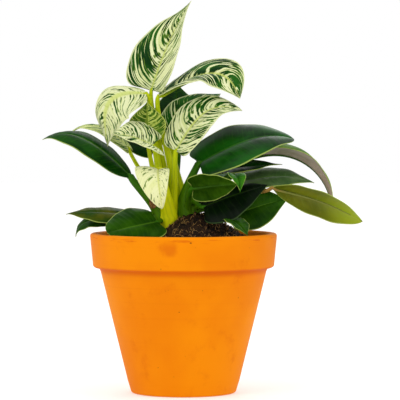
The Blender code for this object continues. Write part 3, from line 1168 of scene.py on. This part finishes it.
@dataclass
class BladeShape:
    """The surface that all blades share. Lengths are in metres."""

    leaf: Leaf
    rows: int = 60
    columns: int = 22
    thickness: float = 0.00045
    bend_steps: int = 24
    crowding: float = 1.4
    lobe_at: float = 0.08
    fullness: float = 0.66
    arch: float = 34
    vein_lean: float = 1.3
    pleats: int = 11
    pleat_depth: float = 0.00022
    groove_depth: float = 0.0005
    groove_width: float = 0.06  # as a share of the half blade
    wave_counts: tuple[float, float] = (9.0, 21.0)  # the long waves and the short ones
    short_waves: float = 0.6  # the height of the short waves, as a share of the long ones'
    frames: list[tuple[Vector, Matrix]] = field(default_factory=list)

    def __post_init__(self) -> None:
        """Works out the midrib's frames."""
        leaf = self.leaf
        turn = Matrix.Rotation(math.radians(leaf.heading), 3, "Z")
        turn = turn @ Matrix.Rotation(math.radians(-leaf.rise), 3, "Y")
        turn = turn @ Matrix.Rotation(math.radians(leaf.roll), 3, "X")
        place = Vector(leaf.base) * MM
        self.frames = [(place.copy(), turn.copy())]
        for step in range(self.bend_steps):
            grown = self.bent((step + 1) / self.bend_steps) - self.bent(step / self.bend_steps)
            bend = Matrix.Rotation(math.radians(leaf.curl * grown), 3, "Y")
            bend = bend @ Matrix.Rotation(math.radians(leaf.sweep * grown), 3, "Z")
            bend = bend @ Matrix.Rotation(math.radians(leaf.twist * grown), 3, "X")
            turn = turn @ bend
            place = place + turn.col[0] * leaf.length * MM / self.bend_steps
            self.frames.append((place.copy(), turn.copy()))

    def bent(self, share: float) -> float:
        """How much of the whole bend is made by a share of the way along.

        Args:
            share: The share of the way along.

        Returns:
            The share of the bend.
        """
        leaf = self.leaf
        ends = (math.tanh(leaf.sharp * (at - leaf.bend_at) / 2) for at in (0, share, 1))
        start, here, end = ends
        return (here - start) / (end - start)

    def margin(self, share: float) -> tuple[float, float]:
        """Where the margin is.

        Args:
            share: The share of the way from the stalk to the tip.

        Returns:
            The distances along the midrib and out from it.
        """
        leaf = self.leaf
        back = share / self.lobe_at * math.exp(1 - share / self.lobe_at)
        along = leaf.length * (share - leaf.lobe * back * (1 - share))
        towards_stalk = math.log(0.5) / math.log(leaf.widest)
        swell = math.sin(math.pi * share**towards_stalk)
        across = leaf.width / 2 * max(swell, 0.0) ** (self.fullness * (1 + share * (1 - leaf.blunt)))
        return along * MM, across * MM

    def midrib(self, along: float) -> tuple[Vector, list[Vector]]:
        """The midrib at a distance from the stalk.

        Args:
            along: The distance, which is below 0 for the lobes behind the stalk.

        Returns:
            The place, and the axes: ahead, left and up.
        """
        steps = along / (self.leaf.length * MM) * self.bend_steps
        index = min(max(int(steps), 0), self.bend_steps - 1)
        (here, turn), (there, turned_to) = self.frames[index], self.frames[index + 1]
        part = steps - index
        place = here.lerp(there, part) if part >= 0 else here + turn.col[0] * along
        part = min(max(part, 0.0), 1.0)
        axes = [(turn.col[i] * (1 - part) + turned_to.col[i] * part).normalized() for i in range(3)]
        return place, axes

    def point(self, share: float, side: float) -> Vector:
        """A point of the upper face.

        Args:
            share: The share of the way from the stalk to the tip.
            side: From -1 at the right margin to 1 at the left.

        Returns:
            The point.
        """
        edge_along, edge_across = self.margin(share)
        edge_across *= self.leaf.halves[0 if side > 0 else 1]
        out = abs(side)
        start = self.leaf.length * MM * share**self.vein_lean
        along = start + (edge_along - start) * out**self.vein_lean
        place, (_, left, up) = self.midrib(along)
        fold, arch = math.radians(self.leaf.fold), math.radians(self.arch)
        level = edge_across * (math.sin(fold) - math.sin(fold - arch * out)) / arch
        lift = edge_across * (math.cos(fold - arch * out) - math.cos(fold)) / arch
        return place + left * math.copysign(level, side) + up * (lift + self.relief(share, side))

    def relief(self, share: float, side: float) -> float:
        """The height of the pleats, the midrib's groove and the margin's waves.

        Args:
            share: The share of the way from the stalk to the tip.
            side: From -1 at the right margin to 1 at the left.

        Returns:
            The height above the plain blade.
        """
        out = abs(side)
        seed = sum(map(ord, self.leaf.name)) * 0.37 + (3.0 if side > 0 else 0.0)
        calm = math.sin(math.pi * min(max(share, 0.0), 1.0)) ** 0.5
        pleat = abs(math.sin(math.pi * self.pleats * share)) ** 0.6 * math.sin(math.pi * out) ** 0.5
        groove = -self.groove_depth * math.exp(-((out / self.groove_width) ** 2))
        long, short = self.wave_counts
        wave = math.sin(seed + share * long)
        wave += self.short_waves * math.sin(seed * 2.3 + share * short)
        ripple = self.leaf.waves * MM * wave * out**3
        return (self.pleat_depth * pleat + ripple) * calm + groove * calm

    def shape(self, along: float, across: float) -> tuple[Vector, float]:
        """A point of the blade's net, and its share of the way."""
        share = along**self.crowding
        return self.point(share, across * 2 - 1), share

    def build(self, name: str) -> bpy.types.Object:
        """Makes the blade.

        Args:
            name: The piece's name.

        Returns:
            The blade, whose lower face takes its second material.
        """
        blade = sheet(name, self.rows, self.columns, self.shape)
        thick = blade.modifiers.new("thickness", "SOLIDIFY")
        thick.thickness = self.thickness
        thick.offset = -1
        thick.material_offset = 1
        thick.material_offset_rim = 0
        with editing(blade):
            bpy.ops.mesh.remove_doubles(threshold=0.02 * MM)
        return blade


@dataclass
class StalkShape:
    """A leaf's stalk, from the soil up to the blade and on beneath it as the midrib."""

    leaf: Leaf
    blade: BladeShape
    soil: SoilBed
    ordinary: float = 0.0022
    neck: float = 0.0014
    taper: float = 1.5
    fuller: float = 1.12
    flare: float = 0.35
    sheath: tuple[float, float] = (1.45, 0.1)  # the foot's girth, and how much it tapers
    seat: float = 0.7  # how far the foot stands off the stem, as a share of its radius
    sunk: float = 0.016  # how far the foot runs on below its place on the stem
    sunk_in: float = 0.002  # and how far towards the stem's middle
    lean_out: float = 0.4
    stand_up: float = 1.5
    pull: tuple[float, float] = (0.35, 0.15)  # how far the foot and the head hold their direction
    head_gap: float = 0.0004
    steps: int = 22
    rib_steps: int = 18
    rib_share: float = 0.86
    rib_end: float = 0.00022
    rib_girth: float = 0.62
    rib_taper: float = 1.2
    rib_depth: float = 0.0006
    rib_sink: float = 0.72
    sides: int = 16
    channel: float = 0.22

    def route(self) -> tuple[list[Vector], list[float]]:
        """The centre line and the radii.

        Returns:
            The points from the soil to the end of the midrib, and the radius at each.
        """
        leaf = self.leaf
        x, y, stem_girth, top = leaf.stem.value
        compass = math.radians(leaf.foot[0])
        outward = Vector((math.cos(compass), math.sin(compass), 0))
        height = leaf.foot[1] * MM
        root = leaf.stem.root(self.soil)
        here = stem_girth * (1 - STEM_TAPER * (height - root) / (top - root))
        stout = leaf.stout * self.ordinary
        foot = Vector((x, y, height)) + outward * (here + stout * self.seat)
        start, turn = self.blade.frames[0]
        base = start - turn.col[0] * self.head_gap
        far = (base - foot).length
        leaving = outward * self.lean_out + UP + (base - foot).normalized()
        arriving = turn.col[0] + UP * self.stand_up
        first = foot + leaving.normalized() * far * self.pull[0]
        last = base - arriving.normalized() * far * self.pull[1]
        points, radii = [], []
        sunk = foot - outward * self.sunk_in - UP * self.sunk
        girth, narrowing = self.sheath
        for i in range(4):
            share = i / 4
            points.append(sunk.lerp(foot, share))
            radii.append(stout * self.fuller * (girth - narrowing * share))
        for i in range(self.steps + 1):
            t = i / self.steps
            s = 1 - t
            points.append(foot * s**3 + first * 3 * s * s * t + last * 3 * s * t * t + base * t**3)
            flare = 1 + self.flare * s**3
            thin = self.neck + (self.ordinary - self.neck) * s**self.taper
            radii.append(leaf.stout * thin * flare * self.fuller)
        head = radii[-1]
        for i in range(1, self.rib_steps + 1):
            t = i / self.rib_steps
            along = leaf.length * MM * self.rib_share * t
            place, (_, _, up) = self.blade.midrib(along)
            radius = head * (1 - t) ** self.rib_taper * self.rib_girth + self.rib_end
            points.append(place - up * (self.rib_depth + radius * self.rib_sink))
            radii.append(radius)
        return points, radii

    def build(self, name: str) -> bpy.types.Object:
        """Makes the stalk.

        Args:
            name: The piece's name.

        Returns:
            The stalk.
        """
        points, radii = self.route()
        hint = self.blade.frames[0][1].col[2] + Vector((0, 0.02, 0.4))
        return tube(name, points, radii, self.sides, hint.normalized(), self.channel)


STRIPED = {
    "top": StripedLeaf(
        "leaf_top", 1.0, 0.44, paler_half=-0.06, lines=25.0, lean=0.34, midrib=0.03, rim=0.8
    ),
    "upper_right": StripedLeaf("leaf_upper_right", 2.0, 0.34, lean=0.24),
    "upper_left": StripedLeaf("leaf_upper_left", 3.0, 0.60, lean=0.24, midrib=0.10, dashes=0.2),
    "mid_left": StripedLeaf("leaf_mid_left", 4.0, 0.46, lines=19.0),
    "mid_right": StripedLeaf("leaf_mid_right", 5.0, 0.46, midrib=0.045),
    "inner_dark": StripedLeaf("leaf_inner_dark", 6.0, 0.16, midrib=0.02, lines=30.0, rim=0.6),
    "inner_pale": StripedLeaf(
        "leaf_inner_pale",
        7.0,
        0.74,
        dashes=0.24,
        green=srgb(120, 146, 40),
        deep=srgb(66, 108, 28),
        lime=srgb(156, 176, 62),
        cream=srgb(180, 194, 88),
        rib=srgb(196, 204, 96),
    ),
    "left_arching": StripedLeaf(
        "leaf_left_arching",
        21.0,
        0.48,
        green=srgb(84, 128, 40),
        deep=srgb(50, 96, 26),
        lime=srgb(150, 180, 80),
        cream=srgb(214, 224, 150),
    ),
    "small_cream": StripedLeaf(
        "leaf_small_cream",
        8.0,
        0.74,
        dashes=0.34,
        lines=20.0,
        green=srgb(112, 140, 64),
        deep=srgb(88, 112, 60),
        lime=srgb(206, 214, 130),
        cream=srgb(238, 240, 186),
        rib=srgb(222, 228, 140),
    ),
}
STRIPED_UNDER = StripedLeaf(
    "under_striped",
    9.0,
    0.36,
    green=srgb(84, 122, 28),
    deep=srgb(40, 88, 18),
    lime=srgb(146, 172, 54),
    cream=srgb(196, 208, 104),
    rib=srgb(186, 200, 80),
    gloss=0.5,
)
CREAM_UNDER = PlainLeaf(
    "under_cream",
    10.0,
    light=srgb(214, 216, 60),
    dark=srgb(190, 196, 30),
    rib=srgb(208, 210, 50),
    margin=srgb(226, 230, 130),
    gloss=0.45,
    glow=0.2,
)
PLAIN = {
    "glossy": PlainLeaf(
        "leaf_glossy",
        11.0,
        light=srgb(20, 84, 10),
        dark=srgb(3, 42, 3),
        rib=srgb(70, 124, 40),
        gloss=0.25,
        mirror=0.14,
    ),
    "green": PlainLeaf("leaf_green", 22.0, light=srgb(24, 76, 8), dark=srgb(5, 44, 3)),
    "deep": PlainLeaf("leaf_deep", 12.0, light=srgb(16, 58, 8), dark=srgb(3, 28, 3)),
    "mid": PlainLeaf("leaf_mid", 13.0, light=srgb(42, 84, 6), dark=srgb(22, 60, 3)),
    "brownish": PlainLeaf(
        "leaf_brownish", 24.0, light=srgb(84, 88, 14), dark=srgb(36, 68, 10), rib=srgb(80, 96, 30)
    ),
    "bright": PlainLeaf("leaf_bright", 14.0, light=srgb(50, 112, 14), dark=srgb(24, 76, 8)),
    # partly painted sheen: this grey green is the leaf's own dull green with a painted sheen on it
    "grey": PlainLeaf("leaf_grey", 15.0, light=srgb(88, 112, 66), dark=srgb(54, 82, 40)),
    "arched": PlainLeaf(
        "leaf_arched", 23.0, light=srgb(90, 124, 36), dark=srgb(60, 98, 26), rib=srgb(120, 140, 70)
    ),
    "olive": PlainLeaf("leaf_olive", 16.0, light=srgb(98, 106, 20), dark=srgb(70, 88, 12)),
    # painted shade: a near-black green for the low right leaf, standing for the shadow that it lies
    # in
    "painted_shade_black": PlainLeaf(
        "leaf_shaded",
        17.0,
        light=srgb(5, 22, 3),
        dark=srgb(1, 9, 1),
        margin=srgb(60, 86, 40),
        vein_tint=0.02,
        rib_tint=0.12,
    ),
}
PLAIN_UNDER = PlainLeaf(
    "under_green",
    18.0,
    light=srgb(52, 90, 8),
    dark=srgb(32, 66, 3),
    rib=srgb(84, 116, 24),
    gloss=0.42,
)
OLIVE_UNDER = PlainLeaf(
    "under_olive",
    19.0,
    light=srgb(104, 114, 20),
    dark=srgb(82, 96, 12),
    rib=srgb(150, 158, 84),
    tip=srgb(150, 174, 40),
    gloss=0.4,
    vein_tint=0.05,
    glow=0.1,
)
MAUVE_UNDER = PlainLeaf(
    "under_mauve",
    20.0,
    light=srgb(176, 166, 150),
    dark=srgb(142, 138, 116),
    rib=srgb(130, 130, 90),
    gloss=0.45,
)
STALKS = {
    "yellow": FreshStalk("stalk_yellow"),
    "green": FreshStalk(
        "stalk_green",
        srgb(92, 140, 12),
        srgb(60, 116, 10),
        srgb(44, 96, 8),
        rib=srgb(52, 92, 16),
        seed=3.0,
    ),
    "broad": FreshStalk(
        "stalk_broad",
        srgb(232, 236, 8),
        srgb(226, 230, 24),
        srgb(186, 204, 8),
        rib=srgb(212, 216, 90),
        seed=5.0,
    ),
    "brown": FreshStalk(
        "stalk_brown",
        srgb(110, 112, 34),
        srgb(166, 128, 64),
        srgb(118, 98, 40),
        rib=srgb(126, 134, 60),
        seed=7.0,
    ),
}


def leaf_table() -> list[Leaf]:
    """The plant's leaves.

    Returns:
        Every leaf, in the order in which they are made.
    """
    left, right = Stem.LEFT, Stem.RIGHT
    striped, cream, olive = Kind.STRIPED, Kind.CREAM, Kind.OLIVE
    return [
        # name, stem, foot, base, heading, rise, roll, length, width, curl, sweep, twist
        Leaf("top", left, (82, 153), (-26, 10, 242.5), 20, 71, 38, 80, 55, 8, -11,
             fold=32, lobe=0.05, widest=0.25, kind=striped, waves=0.9, halves=(1.0, 0.62)),
        Leaf("upper_right", left, (33, 151), (-20, 2, 238), 3, 29, 8, 83, 46, 56, -85, 45,
             bend_at=0.68, sharp=8, lobe=0.04, widest=0.48, kind=striped, stout=1.3, blunt=0.45),
        Leaf("upper_left", left, (132, 157), (-30, 2, 240), 195, 4, -32, 69, 52, 96, 40,
             fold=10, bend_at=0.46, sharp=10, lobe=0.04, widest=0.45, kind=striped, stout=1.25,
             halves=(1.1, 0.75), blunt=0.2),
        Leaf("mid_left", left, (-130, 152), (-24, -18, 198), 205, 24, -35, 36, 42, 20,
             fold=34, lobe=0.28, kind=striped, stout=1.3, blunt=0.4),
        Leaf("mid_right", left, (-45, 150), (-6, -13, 194), 0, 60, 45, 70, 42, 62, -50,
             bend_at=0.7, sharp=7, lobe=0.06, kind=striped, stout=1.35, blunt=0.6),
        Leaf("inner_dark", right, (153, 154), (-9, 27, 198), 15, 60, 45, 68, 48, 55,
             lobe=0.05, kind=striped, stout=1.6, blunt=0.3),
        Leaf("small_cream", left, (-80, 142), (-19, -20, 179), -95, 10, 0, 50, 36, 110, 16,
             bend_at=0.5, stout=2.2, lobe=0.08, kind=cream, halves=(0.5, 1.05), blunt=0.9),
        Leaf("inner_pale", left, (175, 153), (-29, -4, 206), 270, 81, 0, 28, 31, -10,
             kind=striped),
        Leaf("left_long", left, (-145, 144), (-42, -6, 173.5), 178, 47, -30, 89, 35, 80,
             bend_at=0.9, stout=1.9, fold=6, lobe=0.0, widest=0.42, blunt=0.5),
        Leaf("left_arching", left, (128, 143), (-45, 25, 196), 178, 48, -14, 67, 28, 112,
             bend_at=0.75, kind=olive, fold=12, blunt=0.2),
        Leaf("low_left_outer", left, (170, 141), (-46, 0, 143), 182, 8, -26, 49, 30, 20,
             kind=olive, fold=6),
        Leaf("low_left_front", left, (-120, 137), (-21, -18, 138), 214, -8, -36, 47, 36, 4,
             blunt=1.2, halves=(1.0, 1.3), fold=12),
        Leaf("low_left_drooping", left, (146, 136), (-60.75, 8.25, 138), -170, 10, -30,
             36, 20, 100, fold=10),
        Leaf("right_broad", right, (-141, 151), (12, -7, 184), 6, 30, 38, 88, 50, 55,
             bend_at=0.85, lobe=0.08, stout=1.8, blunt=1.05, fold=16),
        Leaf("right_pointed", right, (-2, 162), (22, 6, 177), 0, 10, 25, 58, 24, 10, blunt=0.2),
        Leaf("right_nodding", right, (-48, 158), (40, -17, 175), -75, 0, 0, 26, 15, 80,
             fold=35),
        Leaf("right_front", right, (-102, 147), (7, -28, 165), -12, 8, -50, 37, 30, 10,
             blunt=0.8, fold=10),
        Leaf("right_spreading", right, (34, 157), (46, 10, 169), 0, 14, 30, 62, 32, 40,
             blunt=0.5, fold=14),
        Leaf("far_right_front", right, (12, 150), (71, -16, 165), -8, -12, -34, 78, 36, 22,
             kind=olive, fold=12, lobe=0.0, widest=0.5, blunt=0.9, halves=(1.35, 1.0)),
        Leaf("far_right_arching", right, (61, 148), (54, 27, 188), 0, 22, 8, 100, 34, 112,
             bend_at=0.5, sharp=2, fold=44, blunt=0.2),
        # its right half is widened so that its near-black painted shade also fills the shadow between
        # the soil and the leaves
        Leaf("low_right_shaded", right, (-69, 152), (16, -18, 150), 0, 22, 40, 54, 36, 10,
             blunt=0.5, fold=10, halves=(1.0, 1.35)),
        Leaf("low_right_outer", right, (-7, 146), (39, -5, 143), 5, 18, 60, 48, 38, 10,
             blunt=0.4, fold=14),
        Leaf("low_right_small", right, (-37, 148), (38.25, -30.75, 140), -62, -15, 0,
             29, 19, 20),
        Leaf("back_tall", left, (62, 143), (-4, 38, 200), 95, 62, 0, 62, 44, 15, stout=1.3),
        Leaf("back_left", left, (94, 138), (-24, 42, 194), 158, 28, -55, 40, 26, 30),
        Leaf("back_right", right, (100, 151), (28, 50, 170), 50, 20, 0, 70, 44, 70),
        Leaf("back_low", right, (133, 146), (6, 60, 150), 90, 15, 0, 70, 42, 60),
    ]


# Which plain finish each old leaf's upper face has, and the leaves whose other finishes differ.
UPPER = {
    "left_long": "green",
    "low_left_outer": "brownish",
    "right_broad": "glossy",
    "right_pointed": "deep",
    "right_nodding": "bright",
    "right_spreading": "grey",
    "far_right_front": "olive",
    "far_right_arching": "arched",
    "low_right_shaded": "painted_shade_black",
    "back_tall": "deep",
    "back_left": "deep",
    "back_right": "glossy",
    "back_low": "green",
}
UNDER = {
    "small_cream": CREAM_UNDER,
    "far_right_front": OLIVE_UNDER,
    "far_right_arching": MAUVE_UNDER,
}
STALK = {"small_cream": "broad", "right_spreading": "brown", "far_right_front": "brown"}

# The aerial root's route, in millimetres, and the steps between one point and the next.
ROOT_ROUTE = (
    (-44.2, 14.2, 121), (-51.8, 17.2, 128), (-60, 18.8, 134), (-74.2, 18.8, 138), (-87.8, 17.2, 142)
)
ROOT_STEPS = 10


@dataclass
class Plant:
    """The stems, the leaves, the dry scale and the aerial root."""

    soil: SoilBed
    leaves: list[Leaf] = field(default_factory=leaf_table)
    made: dict[str, bpy.types.Material] = field(default_factory=dict)

    def material(self, finish: Finish) -> bpy.types.Material:
        """A finish's material, which is made once and then shared.

        Args:
            finish: The finish.

        Returns:
            Its material.
        """
        if finish.name not in self.made:
            self.made[finish.name] = finish.make()
        return self.made[finish.name]

    @staticmethod
    def finishes(leaf: Leaf) -> tuple[Finish, Finish, Finish]:
        """A leaf's finishes.

        Args:
            leaf: The leaf.

        Returns:
            The finishes of its upper face, its lower face and its stalk.
        """
        if leaf.name in STRIPED:
            upper, under, stalk = STRIPED[leaf.name], STRIPED_UNDER, "yellow"
        else:
            upper, under, stalk = PLAIN[UPPER.get(leaf.name, "mid")], PLAIN_UNDER, "green"
        return upper, UNDER.get(leaf.name, under), STALKS[STALK.get(leaf.name, stalk)]

    def leaf(self, leaf: Leaf) -> None:
        """Makes one leaf, its blade and its stalk.

        Args:
            leaf: The leaf.
        """
        upper, under, stalk = self.finishes(leaf)
        shape = BladeShape(leaf)
        blade = shape.build(f"leaf_{leaf.name}")
        dress(blade, [self.material(upper), self.material(under)])
        finish_piece(blade)
        place_in_record(blade, leaf.kind.value, f"blade_{leaf.name}")
        stem = StalkShape(leaf, shape, self.soil).build(f"petiole_{leaf.name}")
        dress(stem, [self.material(stalk)])
        finish_piece(stem)
        place_in_record(stem, "stem", f"stalk_{leaf.name}")

    def stems(self) -> None:
        """Makes the two ringed stems."""
        for stem in Stem:
            x, y, girth, top = stem.value
            root = stem.root(self.soil)
            route, radii = [], []
            for i in range(STEM_STEPS + 1):
                share = i / STEM_STEPS
                route.append(Vector((x, y, root + (top - root) * share)))
                ring = RING_HEIGHT * abs(math.sin(share * STEM_RINGS * math.pi))
                radii.append(girth * (1 - STEM_TAPER * share) + ring)
            radii[-1] -= STEM_END
            side = stem.name.lower()
            piece = tube(f"stem_{side}", route, radii, 24)
            dress(piece, [self.material(STALKS["green"])])
            finish_piece(piece)
            place_in_record(piece, "stem", f"crown_{side}")

    def dry_parts(self) -> None:
        """Makes the dry scale and the aerial root."""
        scale = Leaf("dried_sheath", Stem.LEFT, (0, 0), (-24, -10, 148), 170, 80, 80, 12, 6, lobe=0)
        piece = BladeShape(scale, rows=20, columns=10).build("dry_scale")
        dress(piece, [self.material(DryFibre("dry_scale"))] * 2)
        finish_piece(piece)
        place_in_record(piece, "dried", "dried_sheath")
        corners = [Vector(point) * MM for point in ROOT_ROUTE]
        last = len(corners) - 1
        route, radii = [], []
        for i in range(last * ROOT_STEPS + 1):
            at = i / ROOT_STEPS
            index = min(int(at), last - 1)
            before, after = corners[max(index - 1, 0)], corners[min(index + 2, last)]
            here, there = corners[index], corners[index + 1]
            t = at - index
            bend = (here * 2 + (there - before) * t
                    + (before * 2 - here * 5 + there * 4 - after) * t * t
                    + (here * 3 - before - there * 3 + after) * t**3) / 2
            route.append(bend + noise.noise_vector(bend * 300) * 0.35 * MM)
            thin = 1 - 0.3 * i / (last * ROOT_STEPS)
            radii.append((1.05 + 0.3 * noise.noise(bend * 700)) * MM * thin)
        root = tube("hanging_root", route, radii, 10)
        dress(root, [self.material(DryFibre("root_bark", srgb(92, 60, 38), srgb(34, 20, 12)))])
        finish_piece(root)
        place_in_record(root, "dried", "aerial_root")

    def build(self) -> None:
        """Makes the whole plant."""
        self.stems()
        for leaf in self.leaves:
            self.leaf(leaf)
        self.dry_parts()


# ---- the studio ---------------------------------------------------------------------------------
@dataclass
class Studio:
    """The floor, the lights and the camera."""

    eye: Point = (0.0132, -2.1, 0.226)
    aim: Point = (0.0132, 0.0, 0.1545)
    lens: float = 235.6
    sensor: float = 36.0
    lamps_aim: Point = (0.0, 0.0, 0.16)
    floor_size: float = 12.0
    floor_drop: float = 0.0002  # how far the floor lies below the pot, so that they don't coincide

    @staticmethod
    def look(piece: bpy.types.Object, at: Point) -> None:
        """Turns a camera or a light towards a point."""
        away = piece.location - Vector(at)
        piece.rotation_euler = away.to_track_quat("Z", "Y").to_euler()

    def lamp(
        self, name: str, place: Point, size: float, power: float, tint: Colour = (1.0, 1.0, 1.0)
    ) -> None:
        """Adds a square soft light.

        Args:
            name: The light's name.
            place: Where it stands.
            size: The length of its side, in metres.
            power: Its power, in watts.
            tint: Its colour.
        """
        begin()
        bpy.ops.object.light_add(type="AREA", location=place)
        lamp = bpy.context.active_object
        lamp.name = name
        lamp.data.size = size
        lamp.data.energy = power
        lamp.data.color = tint
        self.look(lamp, self.lamps_aim)

    def build(self) -> None:
        """Sets the studio up."""
        begin()
        bpy.ops.mesh.primitive_grid_add(
            x_subdivisions=8,
            y_subdivisions=8,
            size=self.floor_size,
            location=(0, 0, -self.floor_drop),
        )
        floor = named("floor")
        bpy.ops.object.transform_apply(location=True, rotation=True, scale=True)
        dress(floor, [PaleFloor().make()])
        self.lamp("key_light", (-0.9, -1.3, 1.5), 0.8, 7.0, (1.0, 0.985, 0.96))
        self.lamp("side_light", (1.4, -0.6, 0.9), 0.6, 3.0)
        self.lamp("back_light", (0.3, 1.5, 1.4), 0.8, 4.0)
        world = bpy.data.worlds.new("studio")
        bpy.context.scene.world = world
        world.use_nodes = True
        back = world.node_tree.nodes["Background"]
        back.inputs["Color"].default_value = (1.0, 1.0, 1.0, 1.0)
        back.inputs["Strength"].default_value = 1.0
        bpy.ops.object.camera_add(location=self.eye)
        camera = bpy.context.active_object
        camera.name = "camera"
        camera.data.lens = self.lens
        camera.data.sensor_width = self.sensor
        self.look(camera, self.aim)
        bpy.context.scene.camera = camera
        bpy.context.scene.view_settings.view_transform = "Standard"


def main() -> None:
    """Builds the studio, the pot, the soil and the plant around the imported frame."""
    logging.basicConfig(level=logging.INFO, format="%(message)s")
    for thing in list(bpy.data.objects):
        bpy.data.objects.remove(thing, do_unlink=True)
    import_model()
    noise.seed_set(NOISE_SEED)
    Studio().build()
    low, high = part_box("pot")
    pot = ClayPot(height=high.z, rim=(high.x - low.x) / 2)
    pot.build()
    soil = SoilBed(pot)
    soil.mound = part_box("soil")[1].z - (pot.height - soil.below_lip)
    soil.build()
    Plant(soil).build()


if __name__ == "__main__":
    main()
